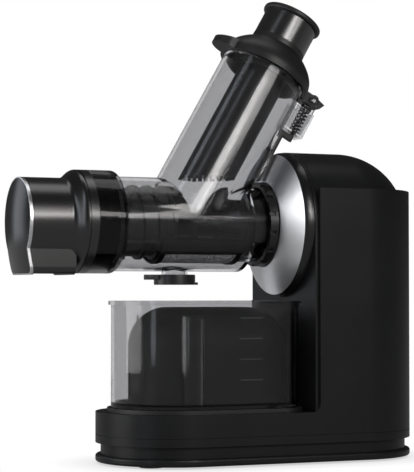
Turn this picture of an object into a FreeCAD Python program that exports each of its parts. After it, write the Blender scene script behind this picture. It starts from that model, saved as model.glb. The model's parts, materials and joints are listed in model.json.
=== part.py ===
import FreeCAD, Part
import math
import os

V = FreeCAD.Vector
X_DIR = V(1, 0, 0)
Y_DIR = V(0, 1, 0)
Z_DIR = V(0, 0, 1)

# Horizontal masticating juicer, in millimetres. +Z is up, the drum lies along X with its pulp end
# towards -X, and the origin is on the table under the middle of the overall box.

# Base and shells
BASE_LENGTH = 260.0
BASE_WIDTH = 120.0
FOOT_STANDOFF = 1.5
FOOT_RADIUS = 9.0
FOOT_SEAT_DEPTH = 1.0
FLANGE_HEIGHT = 6.0
FLANGE_EDGE_RADIUS = 2.0
PLATE_FLOOR = 3.0
NECK_INSET = 4.0
NECK_HEIGHT = 8.7
BAND_HEIGHT = 23.5
PARTING_HEIGHT = 6.0
PARTING_GROOVE = 0.6
SHELL_WALL = 2.2
DECK_THICKNESS = 2.5
DECK_LEDGE = 8.5
REAR_WALL_HEIGHT = 171.8
WALL_FOOT_RADIUS = 7.0
SHELL_EDGE_RADIUS = 0.8
WALL_SETBACK = 27.0
TRAY_THICKNESS = 3.0
TRAY_MARGIN = 3.0

# Motor housing and drum socket
AXIS_HEIGHT = 184.5
HOUSING_WALL = 2.5
PANEL_THICKNESS = 2.5
PANEL_PROUD = 3.0
BEZEL_DEPTH = 7.7
BEZEL_TAPER = 1.9
BEZEL_WALL = 5.0
TRIM_DEPTH = 10.8
TRIM_INNER_RADIUS = 35.0
TRIM_WALL = 2.0
TRIM_LIP = 1.5
SOCKET_WALL = 3.0
SOCKET_FLOOR = 3.0
SOCKET_DEPTH = 9.0

# Juicing drum
NECK_RADIUS = 29.6
NECK_WALL = 2.6
NECK_SHOWN = 21.5
BARREL_RADIUS = 34.9
BARREL_WALL = 2.8
BARREL_LENGTH = 105.0
TROUGH_RADIUS = 37.5
TROUGH_WALL = 2.5
TROUGH_RIM_DROP = 16.5
COLLAR_RADIUS = 39.3
COLLAR_LENGTH = 23.0
COLLAR_BORE_DEPTH = 20.0
COLLAR_EDGE_RADIUS = 3.0
SPOUT_OFFSET = 53.0
SPOUT_RADIUS = 10.0
SPOUT_WALL = 2.5
SPOUT_DROP = 44.0
LOCK_RING_WIDTH = 7.0
LOCK_RING_WALL = 3.6
LOCK_NOTCHES = 14
LOCK_NOTCH_WIDTH = 3.0

# Chute, lid and pusher, measured along the chute from the drum axis
CHUTE_TILT = 30.0
CHUTE_OFFSET = 46.1
CHUTE_RADIUS = 34.6
CHUTE_WALL = 2.8
CHUTE_LENGTH = 137.5
LID_RADIUS = 38.0
LID_HEIGHT = 27.4
LID_RIM_HEIGHT = 3.5
LID_WALL = 2.5
LID_CURVE = 1.9
LID_STEPS = 12
LID_NECK_WALL = 2.3
LID_NECK_HEIGHT = 4.0
LID_SPIGOT_LENGTH = 4.0
LID_SPIGOT_GAP = 1.7
TAB_REACH = 11.5
TAB_WIDTH = 26.0
TAB_RISE = 10.5
HINGE_REACH = 11.0
HINGE_RISE = 3.7
HINGE_PIN_RADIUS = 1.5
HINGE_WIDTH = 11.0
KNUCKLE_RADIUS = 4.5
TAIL_REACH = 11.0
EAR_THICKNESS = 2.5
PUSHER_RADIUS = 19.5
PUSHER_WALL = 2.5
PUSHER_HEAD_RADIUS = 22.1
PUSHER_HEAD_HEIGHT = 21.5
PUSHER_CAP_RADIUS = 24.6
PUSHER_CAP_HEIGHT = 4.5
PUSHER_CAP_EDGE = 1.8
PUSHER_END_RISE = 34.0
PUSHER_TEETH = 9
PUSHER_TOOTH_GAP = 2.4
PUSHER_TOOTH_PITCH = 4.8
PUSHER_TOOTH_DEPTH = 2.4

# Spring pocket and safety rod on the chute's outer side
POCKET_WIDTH = 15.0
POCKET_DROP = 6.3
POCKET_DEPTH = 22.0
POCKET_WALL = 1.8
SPRING_RADIUS = 4.5
SPRING_WIRE = 1.2
SPRING_TURNS = 6
ROD_RADIUS = 2.2
ROD_LENGTH = 46.0
ROD_HEAD_RADIUS = 4.6
ROD_HEAD_HEIGHT = 2.0
ROD_GUIDE_HEIGHT = 24.0

# Auger and filter
AUGER_RADIUS = 28.6
AUGER_THREAD_ROOT = 26.0
AUGER_FEED_ROOT = 11.0
AUGER_HUB_RADIUS = 19.0
AUGER_THREAD_LENGTH = 36.0
AUGER_THREAD_PITCH = 12.0
AUGER_FEED_PITCH = 54.0
AUGER_FEED_START = 180.0
FLIGHT_ROOT_WIDTH = 6.0
FLIGHT_TIP_WIDTH = 2.6
AUGER_SHANK_RADIUS = 13.0
AUGER_TIP_RADIUS = 6.0
AUGER_TIP_LENGTH = 13.0
FILTER_GAP = 1.0
FILTER_SHEET = 0.8
FILTER_LENGTH = 67.4
FILTER_SPAN = 80.0
FILTER_RAIL_SPAN = 10.0
FILTER_RING_WIDTH = 4.0
FILTER_SLOT_LENGTH = 3.6
FILTER_SLOT_WIDTH = 0.9
FILTER_SLOT_ROWS = 9
FILTER_SLOT_COLUMNS = 10

# Front cap
CAP_FLANGE_WIDTH = 8.0
CAP_FLARE_LENGTH = 11.0
CAP_FLARE_STEPS = 8
CAP_GROOVE_WIDTH = 1.4
CAP_GROOVE_DEPTH = 0.8
CAP_BARREL_LENGTH = 32.7
CAP_RADIUS = 32.7
CAP_WALL = 2.5
CAP_DOME = 3.3
CAP_FACE_THICKNESS = 2.0
CAP_TRIM_WIDTH = 1.0
PULP_SPOUT_HALF_WIDTH = 24.7
PULP_SPOUT_DROP = 40.5
PULP_SPOUT_LENGTH = 38.0
PULP_SPOUT_CORNER = 6.0
CAP_PLUG_LENGTH = 16.5
CAP_HUB_WALL = 2.5
BUSH_WALL = 2.0
BUSH_LENGTH = 9.0

# Drip stop
DRIP_RADIUS = 16.0
DRIP_HEIGHT = 7.9
DRIP_GAP = 2.4
DRIP_STUB_REACH = 3.0
DRIP_FLOOR = 2.0
DRIP_LEVER_LENGTH = 24.0
DRIP_LEVER_WIDTH = 9.0
DRIP_LEVER_THICKNESS = 4.0
DRIP_HOLE_RADIUS = 4.0

# Jug and pulp container
JUG_RADIUS = 50.0
JUG_NOSE_OFFSET = 68.0
JUG_END_OFFSET = 20.0
JUG_END_CORNER = 18.0
JUG_HEIGHT = 81.4
JUG_WALL = 2.2
JUG_RIM_PROUD = 2.0
JUG_RIM_HEIGHT = 3.0
JUG_HEADROOM = 1.5
GRIP_RADIUS = 9.5
GRIP_CENTRE = 73.5
GRIP_DEPTH = 6.0
GRIP_HEIGHT = 68.0
GRIP_FOOT = 2.0
PULP_WIDTH = 89.0
PULP_LENGTH = 118.0
PULP_HEIGHT = 74.0
PULP_SIDE_RADIUS = 34.0
PULP_TOP_RADIUS = 30.0
PULP_WALL = 2.4
PULP_PANEL_HALF_WIDTH = 17.0
PULP_PANEL_DEPTH = 1.6
PULP_PANEL_FOOT = 6.0
PULP_PANEL_DROP = 16.0

# Gear train and motor, all shafts along X
GEAR_MODULE = 1.25
PINION_TEETH = 12
COUNTER_TEETH = 60
DRIVE_TEETH = 72
TOOTH_ADDENDUM = 0.75
TOOTH_DEDENDUM = 1.05
TOOTH_THINNING = 0.14
PRESSURE_ANGLE = 20.0
DRIVE_GEAR_WIDTH = 10.0
COUNTER_GEAR_WIDTH = 7.0
GEAR_SIDE_GAP = 1.2
DRIVE_SHAFT_RADIUS = 8.0
HEX_ACROSS = 11.0
HEX_LENGTH = 21.0
COUNTER_SHAFT_RADIUS = 5.0
CASE_WALL = 3.0
CASE_GAP = 2.5
COVER_STANDOFF = 2.5
BEARING_WALL = 3.0
HUB_WALL = 2.0
BUSH_RING = 2.0
SEAL_WALL = 5.0
SEAL_WIDTH = 3.0
STATOR_RADIUS = 36.0
STATOR_LENGTH = 30.0
ROTOR_RADIUS = 20.5
AIR_GAP = 0.5
WINDING_LENGTH = 5.0
WINDING_INNER = 23.0
WINDING_OUTER = 32.0
MOTOR_SHAFT_RADIUS = 4.0
BRACKET_PLATE = 2.5
BRACKET_WALL = 2.0
MOTOR_BEARING_RADIUS = 9.5
MOTOR_BEARING_WIDTH = 6.0
FAN_RADIUS = 26.0
FAN_WIDTH = 6.0
FAN_BLADES = 9
FAN_HUB_RADIUS = 8.0
FAN_BLADE_THICKNESS = 1.5
BOLT_RADIUS = 1.8
BOLT_HEAD_RADIUS = 3.4
BOLT_HEAD_HEIGHT = 2.2
SCREW_LENGTH = 12.0
BOSS_RADIUS = 4.5
BOSS_SINK = 1.0
VENT_SLOTS = 7
VENT_PITCH = 8.8

# Electrical pieces
BOARD_LENGTH = 60.0
BOARD_WIDTH = 50.0
BOARD_THICKNESS = 1.6
BOARD_POST_HEIGHT = 6.0
BOARD_CENTRE = 45.0
CAPACITOR_SIZE = (30.0, 20.0, 14.0)
SWITCH_LENGTH = 21.0
SWITCH_HEIGHT = 13.0
SWITCH_OFFSET = 18.0
SWITCH_FLANGE = 2.0
SWITCH_FRAME = 1.8
SWITCH_DEPTH = 12.0
ROCKER_PIVOT_DEPTH = 4.6
ROCKER_PIN_RADIUS = 1.2
GLAND_RADIUS = 6.0
GLAND_BORE = 3.6
GLAND_LENGTH = 9.0
INTERLOCK_SIZE = (7.0, 16.0, 8.0)
INTERLOCK_RADIUS = 43.5

# Fits, how far a cut reaches past a face, and how close counts as the same place
RUNNING = 0.05
LOOSE = 0.3
SLIP = 0.5
PAST = 1.0
NEAR = 1e-4

# Heights that follow from the sizes above
BASE_RADIUS = BASE_WIDTH / 2
PLATE_TOP = FOOT_STANDOFF + FLANGE_HEIGHT
FLOOR_TOP = FOOT_STANDOFF + PLATE_FLOOR
BAND_BOTTOM = PLATE_TOP + NECK_HEIGHT
DECK_TOP = BAND_BOTTOM + BAND_HEIGHT
WALL_TOP = DECK_TOP + REAR_WALL_HEIGHT
TRAY_TOP = DECK_TOP + TRAY_THICKNESS
JUG_BOTTOM = TRAY_TOP + LOOSE
HOUSING_RADIUS = BASE_RADIUS - SHELL_WALL - LOOSE

# Places along X, first from the base's middle and then from the middle of the whole box
PANEL_REACH = WALL_SETBACK - PANEL_PROUD
NOSE_REACH = (BEZEL_DEPTH + TRIM_DEPTH + NECK_SHOWN + BARREL_LENGTH + COLLAR_LENGTH
              + CAP_FLANGE_WIDTH + CAP_FLARE_LENGTH + CAP_BARREL_LENGTH + CAP_DOME - PANEL_REACH)
BASE_X = (NOSE_REACH - BASE_LENGTH / 2) / 2
REAR_CENTRE = BASE_X + BASE_LENGTH / 2 - BASE_RADIUS
FRONT_CENTRE = BASE_X - BASE_LENGTH / 2 + BASE_RADIUS
WALL_FRONT = BASE_X + WALL_SETBACK
PANEL_FRONT = WALL_FRONT - PANEL_PROUD
PANEL_BACK = PANEL_FRONT + PANEL_THICKNESS
BEZEL_FRONT = PANEL_FRONT - BEZEL_DEPTH
TRIM_FRONT = BEZEL_FRONT - TRIM_DEPTH
DRUM_BACK = TRIM_FRONT - NECK_SHOWN
BARREL_FRONT = DRUM_BACK - BARREL_LENGTH
DRUM_FRONT = BARREL_FRONT - COLLAR_LENGTH
FLARE_BACK = DRUM_FRONT - CAP_FLANGE_WIDTH
FLARE_FRONT = FLARE_BACK - CAP_FLARE_LENGTH
CAP_RIM = FLARE_FRONT - CAP_BARREL_LENGTH
CAP_APEX = CAP_RIM - CAP_DOME
NECK_END = TRIM_FRONT + SOCKET_DEPTH
SPOUT_X = DRUM_BACK - SPOUT_OFFSET
CHUTE_X = DRUM_BACK - CHUTE_OFFSET

# The gear train climbs from the motor shaft to the drum axis
MOTOR_TO_COUNTER = GEAR_MODULE * (PINION_TEETH + COUNTER_TEETH) / 2
COUNTER_TO_DRIVE = GEAR_MODULE * (PINION_TEETH + DRIVE_TEETH) / 2
COUNTER_Z = AXIS_HEIGHT - COUNTER_TO_DRIVE
MOTOR_Z = COUNTER_Z - MOTOR_TO_COUNTER
COVER_FRONT = PANEL_BACK + COVER_STANDOFF
COVER_BACK = COVER_FRONT + CASE_WALL
DRIVE_GEAR_FRONT = COVER_BACK + GEAR_SIDE_GAP
DRIVE_GEAR_BACK = DRIVE_GEAR_FRONT + DRIVE_GEAR_WIDTH
COUNTER_GEAR_FRONT = DRIVE_GEAR_BACK + 2 * GEAR_SIDE_GAP
COUNTER_GEAR_BACK = COUNTER_GEAR_FRONT + COUNTER_GEAR_WIDTH
CASE_FLOOR = COUNTER_GEAR_BACK + 2 * GEAR_SIDE_GAP
CASE_BACK = CASE_FLOOR + CASE_WALL
STATOR_FRONT = CASE_BACK + BRACKET_PLATE + MOTOR_BEARING_WIDTH
STATOR_BACK = STATOR_FRONT + STATOR_LENGTH
REAR_PLATE_FRONT = STATOR_BACK + WINDING_LENGTH + GEAR_SIDE_GAP
REAR_PLATE_BACK = REAR_PLATE_FRONT + BRACKET_PLATE
FAN_FRONT = REAR_PLATE_BACK + BOLT_HEAD_HEIGHT + GEAR_SIDE_GAP

# The chute's own frame: Z along the chute, X towards the hinge, origin on the drum axis
CHUTE_PLACE = FreeCAD.Placement(V(CHUTE_X, 0, AXIS_HEIGHT), FreeCAD.Rotation(Y_DIR, CHUTE_TILT))
LID_SEAT = CHUTE_LENGTH + LOOSE
LID_TOP = LID_SEAT + LID_HEIGHT
HINGE_X = CHUTE_RADIUS + HINGE_REACH
HINGE_Z = CHUTE_LENGTH + HINGE_RISE
POCKET_OUTER = HINGE_X + SPRING_RADIUS + POCKET_WALL + LOOSE
POCKET_TOP = CHUTE_LENGTH - POCKET_DROP
POCKET_BOTTOM = POCKET_TOP - POCKET_DEPTH
POCKET_FLOOR = POCKET_BOTTOM + POCKET_WALL
ROD_X = CHUTE_RADIUS + ROD_RADIUS + SLIP


def box(x0, x1, y0, y1, z0, z1):
    return Part.makeBox(x1 - x0, y1 - y0, z1 - z0, V(x0, y0, z0))


def rod_x(radius, x0, x1, z=AXIS_HEIGHT, y=0.0):
    return Part.makeCylinder(radius, x1 - x0, V(x0, y, z), X_DIR)


def tube_x(outer, inner, x0, x1, z=AXIS_HEIGHT, y=0.0):
    return rod_x(outer, x0, x1, z, y).cut(rod_x(inner, x0, x1, z, y))


def rod_z(radius, x, y, z0, z1):
    return Part.makeCylinder(radius, z1 - z0, V(x, y, z0))


def turned_x(profile, z=AXIS_HEIGHT):
    """A solid turned about the X axis at height z, from (x, radius) points."""
    points = [V(x, 0, z + radius) for x, radius in profile]
    face = Part.Face(Part.makePolygon(points + points[:1]))
    return face.revolve(V(0, 0, z), X_DIR, 360)


def turned_z(profile):
    """A solid turned about the Z axis, from (radius, z) points."""
    points = [V(radius, 0, z) for radius, z in profile]
    face = Part.Face(Part.makePolygon(points + points[:1]))
    return face.revolve(V(0, 0, 0), Z_DIR, 360)


def slab(outline, half_width):
    """An (x, z) outline spread both ways along Y."""
    points = [V(x, -half_width, z) for x, z in outline]
    face = Part.Face(Part.makePolygon(points + points[:1]))
    return face.extrude(V(0, 2 * half_width, 0))


def stadium(radius, z0, z1):
    """The base's rounded plan at a given end radius."""
    ends = [rod_z(radius, x, 0, z0, z1) for x in (FRONT_CENTRE, REAR_CENTRE)]
    middle = box(FRONT_CENTRE, REAR_CENTRE, -radius, radius, z0, z1)
    return middle.multiFuse(ends).removeSplitter()


def joined(shapes):
    return shapes[0].multiFuse(shapes[1:]).removeSplitter()


def rounded(shape, radius, chosen):
    """Rounds the edges that the test picks."""
    return shape.makeFillet(radius, [edge for edge in shape.Edges if chosen(edge)])


def on_chute(shape):
    placed = shape.copy()
    placed.Placement = CHUTE_PLACE.multiply(placed.Placement)
    return placed


def export(name, solids):
    """Writes one piece, or a group of like pieces, and checks it."""
    group = solids if isinstance(solids, list) else [solids]
    shape = group[0] if len(group) == 1 else Part.makeCompound(group)
    print(name, len(shape.Solids), round(shape.Volume), shape.isValid())
    shape.exportStep("parts/" + name + ".step")


def flat_at(edge, z):
    return abs(edge.BoundBox.ZMin - z) < NEAR and abs(edge.BoundBox.ZMax - z) < NEAR


def base_screw_places():
    along = BASE_LENGTH / 2 - BASE_RADIUS
    side = BASE_RADIUS - SHELL_WALL - NECK_INSET - BOSS_RADIUS - SHELL_WALL
    return [(BASE_X + dx, dy) for dx in (-along, 0, along) for dy in (-side, side)]


def foot_places():
    along = BASE_LENGTH / 2 - BASE_RADIUS / 2
    side = BASE_RADIUS / 2
    return [(BASE_X + dx, dy) for dx in (-along, along) for dy in (-side, side)]


def screw_up(x, y, head_seat, length=SCREW_LENGTH):
    """A pan-head screw driven upwards, its head under the seat height."""
    head = rod_z(BOLT_HEAD_RADIUS, x, y, head_seat - BOLT_HEAD_HEIGHT + LOOSE, head_seat)
    return head.fuse(rod_z(BOLT_RADIUS, x, y, head_seat, head_seat + length)).removeSplitter()


# Base: foot plate, feet, screws

def foot_plate():
    flange = stadium(BASE_RADIUS, FOOT_STANDOFF, PLATE_TOP)
    rims = (FOOT_STANDOFF, PLATE_TOP)
    flange = rounded(flange, FLANGE_EDGE_RADIUS, lambda e: any(flat_at(e, z) for z in rims))
    tongue_top = BAND_BOTTOM + PARTING_HEIGHT
    neck = stadium(BASE_RADIUS - NECK_INSET, PLATE_TOP, tongue_top)
    hollow = stadium(BASE_RADIUS - NECK_INSET - SHELL_WALL, FLOOR_TOP, tongue_top)
    plate = flange.fuse(neck).cut(hollow)
    cuts = [rod_z(FOOT_RADIUS, x, y, 0, FOOT_STANDOFF + FOOT_SEAT_DEPTH) for x, y in foot_places()]
    for x, y in base_screw_places():
        cuts.append(rod_z(BOLT_HEAD_RADIUS + LOOSE, x, y, 0, FOOT_STANDOFF + BOLT_HEAD_HEIGHT))
        cuts.append(rod_z(BOLT_RADIUS + LOOSE, x, y, 0, FLOOR_TOP))
    for step in range(VENT_SLOTS):
        x = REAR_CENTRE - BASE_RADIUS / 2 + (step - (VENT_SLOTS - 1) / 2) * VENT_PITCH
        cuts.append(box(x, x + SHELL_WALL, -BASE_RADIUS / 4, BASE_RADIUS / 4, 0, FLOOR_TOP))
    plate = plate.cut(Part.makeCompound(cuts))
    posts = [rod_z(BOSS_RADIUS, x, y, FLOOR_TOP, FLOOR_TOP + BOARD_POST_HEIGHT)
             for x, y in board_post_places()]
    return joined([plate] + posts)


def rubber_feet():
    return [rod_z(FOOT_RADIUS, x, y, 0, FOOT_STANDOFF + FOOT_SEAT_DEPTH) for x, y in foot_places()]


def base_screws():
    seat = FOOT_STANDOFF + BOLT_HEAD_HEIGHT
    return [screw_up(x, y, seat) for x, y in base_screw_places()]


# Outer shell: the band, its deck and the wall that wraps the motor housing

def housing_boss_places():
    corner = (HOUSING_RADIUS - HOUSING_WALL / 2 - BOSS_RADIUS + BOSS_SINK) * math.sqrt(0.5)
    side = HOUSING_RADIUS - BOSS_RADIUS
    front = PANEL_BACK + BOSS_RADIUS
    return [(front, -side), (front, side), (REAR_CENTRE + corner, -corner), (REAR_CENTRE + corner, corner)]


def behind(shape):
    """The part of a shape behind the rear semicircle's centre."""
    reach = BASE_LENGTH
    return shape.common(box(REAR_CENTRE, REAR_CENTRE + reach, -reach, reach, -reach, 2 * reach))


def arch(radius, x0, z0):
    """The motor housing's form: an upright slab with a round top and a domed back."""
    pieces = [box(x0, REAR_CENTRE, -radius, radius, z0, AXIS_HEIGHT),
              rod_x(radius, x0, REAR_CENTRE),
              behind(rod_z(radius, REAR_CENTRE, 0, z0, AXIS_HEIGHT)),
              behind(Part.makeSphere(radius, V(REAR_CENTRE, 0, AXIS_HEIGHT)))]
    return joined(pieces)


def outer_shell():
    ring = stadium(BASE_RADIUS, BAND_BOTTOM, WALL_TOP)
    ring = rounded(ring, SHELL_EDGE_RADIUS, lambda e: flat_at(e, WALL_TOP))
    ring = ring.cut(stadium(BASE_RADIUS - SHELL_WALL, BAND_BOTTOM, WALL_TOP))
    reach = BASE_X - BASE_LENGTH
    foot = WALL_FOOT_RADIUS
    opening = slab([(reach, DECK_TOP), (WALL_FRONT - foot, DECK_TOP), (WALL_FRONT - foot, WALL_TOP + foot),
                    (reach, WALL_TOP + foot)], BASE_WIDTH)
    corner = slab([(WALL_FRONT - foot, DECK_TOP + foot), (WALL_FRONT, DECK_TOP + foot),
                   (WALL_FRONT, WALL_TOP + foot), (WALL_FRONT - foot, WALL_TOP + foot)], BASE_WIDTH)
    sweep = Part.makeCylinder(foot, 2 * BASE_WIDTH, V(WALL_FRONT - foot, -BASE_WIDTH, DECK_TOP + foot),
                              Y_DIR)
    ring = ring.cut(joined([opening, corner, sweep]))
    deck = stadium(BASE_RADIUS - SHELL_WALL / 2, DECK_TOP - DECK_THICKNESS, DECK_TOP)
    well_radius = HOUSING_RADIUS - DECK_LEDGE
    well = joined([box(PANEL_BACK + DECK_LEDGE, REAR_CENTRE, -well_radius, well_radius, 0, WALL_TOP),
                   rod_z(well_radius, REAR_CENTRE, 0, 0, WALL_TOP)])
    deck = deck.cut(well)
    posts = [rod_z(BOSS_RADIUS, x, y, FLOOR_TOP, DECK_TOP - DECK_THICKNESS / 2)
             for x, y in base_screw_places()]
    shell = joined([ring, deck] + posts)
    outside = stadium(BASE_RADIUS, BAND_BOTTOM + PARTING_HEIGHT,
                      BAND_BOTTOM + PARTING_HEIGHT + PARTING_GROOVE)
    kept = stadium(BASE_RADIUS - PARTING_GROOVE, BAND_BOTTOM, DECK_TOP)
    cuts = [outside.cut(kept)]
    for x, y in base_screw_places():
        cuts.append(rod_z(BOLT_RADIUS + RUNNING, x, y, 0, FLOOR_TOP + SCREW_LENGTH))
    for x, y in housing_boss_places():
        cuts.append(rod_z(BOLT_RADIUS + LOOSE, x, y, DECK_TOP - 2 * DECK_THICKNESS, DECK_TOP))
    z = switch_height()
    half_x, half_z = SWITCH_LENGTH / 2 + LOOSE, SWITCH_HEIGHT / 2 + LOOSE
    cuts.append(box(switch_x() - half_x, switch_x() + half_x, BASE_RADIUS - SWITCH_DEPTH / 2,
                    BASE_RADIUS + PAST, z - half_z, z + half_z))
    cuts.append(rod_x(GLAND_RADIUS, REAR_CENTRE, REAR_CENTRE + BASE_RADIUS + PAST, gland_height()))
    return shell.cut(Part.makeCompound(cuts))


def jug_outline(margin, z0, z1):
    """The jug's plan, grown by a margin: a round nose and a squarer end."""
    radius = JUG_RADIUS + margin
    nose = rod_z(radius, BASE_X - JUG_NOSE_OFFSET, 0, z0, z1)
    end_x = BASE_X + JUG_END_OFFSET + margin
    block = box(BASE_X - JUG_NOSE_OFFSET, end_x, -radius, radius, z0, z1)
    corner = JUG_END_CORNER + margin
    block = rounded(block, corner, lambda e: e.BoundBox.XMin > end_x - NEAR
                    and e.BoundBox.ZLength > e.BoundBox.YLength)
    return joined([nose, block])


def jug_path():
    """The room that the jug slides through, under the bezel and the trim ring."""
    end_x = BASE_X + JUG_END_OFFSET + JUG_RIM_PROUD + LOOSE
    top = JUG_BOTTOM + JUG_HEIGHT + JUG_HEADROOM
    return box(end_x - JUG_NOSE_OFFSET, end_x, -BASE_WIDTH, BASE_WIDTH, JUG_BOTTOM, top)


def jug_tray():
    margin = min(TRAY_MARGIN, PANEL_FRONT - BASE_X - JUG_END_OFFSET - LOOSE)
    return jug_outline(margin, DECK_TOP, TRAY_TOP)


# Motor housing, front panel, bezel, trim ring and drum socket

def motor_housing():
    shell = arch(HOUSING_RADIUS, PANEL_BACK, DECK_TOP)
    shell = shell.cut(arch(HOUSING_RADIUS - HOUSING_WALL, PANEL_BACK, DECK_TOP))
    bosses = [rod_z(BOSS_RADIUS, x, y, DECK_TOP, DECK_TOP + SCREW_LENGTH) for x, y in housing_boss_places()]
    shell = joined([shell.common(arch(HOUSING_RADIUS, PANEL_BACK, DECK_TOP))]
                   + [boss.common(arch(HOUSING_RADIUS, PANEL_BACK, DECK_TOP)) for boss in bosses])
    bores = [rod_z(BOLT_RADIUS + RUNNING, x, y, DECK_TOP - PAST, DECK_TOP + SCREW_LENGTH - DECK_THICKNESS)
             for x, y in housing_boss_places()]
    return shell.cut(Part.makeCompound(bores))


def housing_screws():
    seat = DECK_TOP - DECK_THICKNESS
    return [screw_up(x, y, seat, SCREW_LENGTH - DECK_THICKNESS) for x, y in housing_boss_places()]


def socket_inner():
    return NECK_RADIUS + LOOSE


def socket_outer():
    return socket_inner() + SOCKET_WALL


def front_panel():
    whole = arch(HOUSING_RADIUS, PANEL_FRONT, DECK_TOP)
    keep = box(PANEL_FRONT, PANEL_BACK, -BASE_WIDTH, BASE_WIDTH, DECK_TOP, WALL_TOP + BASE_WIDTH)
    return whole.common(keep).cut(rod_x(hub_outer() + SLIP, PANEL_FRONT, PANEL_BACK))


def front_bezel():
    outer = HOUSING_RADIUS
    shoulder = PANEL_FRONT - BEZEL_DEPTH / 2
    inner = outer - BEZEL_TAPER - BEZEL_WALL
    ring = turned_x([(PANEL_FRONT, inner), (PANEL_FRONT, outer), (shoulder, outer - BEZEL_TAPER / 4),
                     (BEZEL_FRONT, outer - BEZEL_TAPER), (BEZEL_FRONT, inner)])
    return ring.cut(jug_path())


def trim_ring():
    outer = HOUSING_RADIUS - BEZEL_TAPER
    lip = TRIM_INNER_RADIUS - TRIM_LIP
    return turned_x([(BEZEL_FRONT, outer), (TRIM_FRONT, TRIM_INNER_RADIUS), (TRIM_FRONT, lip),
                     (TRIM_FRONT + 2 * TRIM_WALL, lip), (TRIM_FRONT + 2 * TRIM_WALL, TRIM_INNER_RADIUS),
                     (BEZEL_FRONT, outer - BEZEL_WALL)]).cut(jug_path())


def drum_socket():
    """A cup that takes the drum neck, flanged to the panel, with a seal seat at the drive shaft."""
    lip = TRIM_INNER_RADIUS - TRIM_LIP
    outer = min(socket_outer(), lip)
    front = TRIM_FRONT + TRIM_WALL
    flange = outer + 2 * SOCKET_WALL
    floor = PANEL_FRONT - SOCKET_FLOOR
    return turned_x([(front, outer), (floor, outer), (floor, flange), (PANEL_FRONT, flange),
                     (PANEL_FRONT, seal_outer()), (floor, seal_outer()), (floor, socket_inner()),
                     (front, socket_inner())])


def seal_outer():
    return DRIVE_SHAFT_RADIUS + SEAL_WALL


def shaft_seal():
    return tube_x(seal_outer(), DRIVE_SHAFT_RADIUS + RUNNING, PANEL_FRONT - SEAL_WIDTH, PANEL_FRONT)


def interlock_switch():
    depth, width, height = INTERLOCK_SIZE
    z = AXIS_HEIGHT + INTERLOCK_RADIUS
    return box(PANEL_FRONT - depth, PANEL_FRONT, -width / 2, width / 2, z - height / 2, z + height / 2)


# Gears

def involute_point(base, angle, radius):
    """A point at a given radius on the involute that starts at this angle on the base circle."""
    roll = math.sqrt(max((radius / base) ** 2 - 1, 0))
    turn = angle + roll - math.atan(roll)
    return V(0, radius * math.cos(turn), radius * math.sin(turn))


def mirrored_in(point, angle):
    """The same point on the tooth's other flank, mirrored in a ray at this angle."""
    turn = 2 * angle - math.atan2(point.z, point.y)
    radius = math.hypot(point.y, point.z)
    return V(0, radius * math.cos(turn), radius * math.sin(turn))


def spur_gear(teeth, x0, x1, z, bore, tooth_at):
    """An involute gear along X with one tooth centred at the angle tooth_at, in degrees from +Y."""
    pitch = GEAR_MODULE * teeth / 2
    base = pitch * math.cos(math.radians(PRESSURE_ANGLE))
    tip = pitch + TOOTH_ADDENDUM * GEAR_MODULE
    root = pitch - TOOTH_DEDENDUM * GEAR_MODULE
    start = max(base, root)
    pressure = math.radians(PRESSURE_ANGLE)
    half = math.pi / (2 * teeth) - TOOTH_THINNING / (2 * pitch) + math.tan(pressure) - pressure
    step = 2 * math.pi / teeth
    edges = []
    previous = None
    first = None
    for tooth in range(teeth):
        middle = math.radians(tooth_at) + tooth * step
        rise = [involute_point(base, middle - half, r) for r in (start, (start + tip) / 2, tip)]
        fall = [mirrored_in(point, middle) for point in reversed(rise)]
        foot_in = rise[0] * (root / start)
        foot_out = mirrored_in(foot_in, middle)
        if previous is None:
            first = foot_in
        else:
            edges.append(root_arc(previous, foot_in, root))
        edges += [Part.LineSegment(foot_in, rise[0]).toShape()] if base > root else []
        edges.append(Part.Arc(*rise).toShape())
        crest = V(0, tip * math.cos(middle), tip * math.sin(middle))
        edges.append(Part.Arc(rise[2], crest, fall[0]).toShape())
        edges.append(Part.Arc(*fall).toShape())
        edges += [Part.LineSegment(fall[2], foot_out).toShape()] if base > root else []
        previous = foot_out if base > root else fall[2]
    edges.append(root_arc(previous, first, root))
    disc = Part.Face(Part.Wire(edges)).extrude(V(x1 - x0, 0, 0))
    disc.translate(V(x0, 0, z))
    return disc.cut(rod_x(bore, x0, x1, z))


def root_arc(start, end, root):
    middle = (start + end).normalize() * root
    return Part.Arc(start, middle, end).toShape()


UP = 90.0
DOWN = 270.0


def motor_pinion():
    return spur_gear(PINION_TEETH, COUNTER_GEAR_FRONT - GEAR_SIDE_GAP, COUNTER_GEAR_BACK + GEAR_SIDE_GAP,
                     MOTOR_Z, MOTOR_SHAFT_RADIUS, UP)


def counter_gear():
    return spur_gear(COUNTER_TEETH, COUNTER_GEAR_FRONT, COUNTER_GEAR_BACK, COUNTER_Z,
                     COUNTER_SHAFT_RADIUS, DOWN + 180.0 / COUNTER_TEETH)


def counter_pinion():
    return spur_gear(PINION_TEETH, DRIVE_GEAR_FRONT, COUNTER_GEAR_FRONT, COUNTER_Z, COUNTER_SHAFT_RADIUS, UP)


def drive_gear():
    return spur_gear(DRIVE_TEETH, DRIVE_GEAR_FRONT, DRIVE_GEAR_BACK, AXIS_HEIGHT,
                     DRIVE_SHAFT_RADIUS, DOWN + 180.0 / DRIVE_TEETH)


def counter_shaft():
    return rod_x(COUNTER_SHAFT_RADIUS, COVER_FRONT + LOOSE, CASE_BACK - LOOSE, COUNTER_Z)


def hexagon_x(across, x0, x1):
    corners = [V(x0, across / math.sqrt(3) * math.cos(math.pi / 3 * k),
                 AXIS_HEIGHT + across / math.sqrt(3) * math.sin(math.pi / 3 * k)) for k in range(6)]
    return Part.Face(Part.makePolygon(corners + corners[:1])).extrude(V(x1 - x0, 0, 0))


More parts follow.
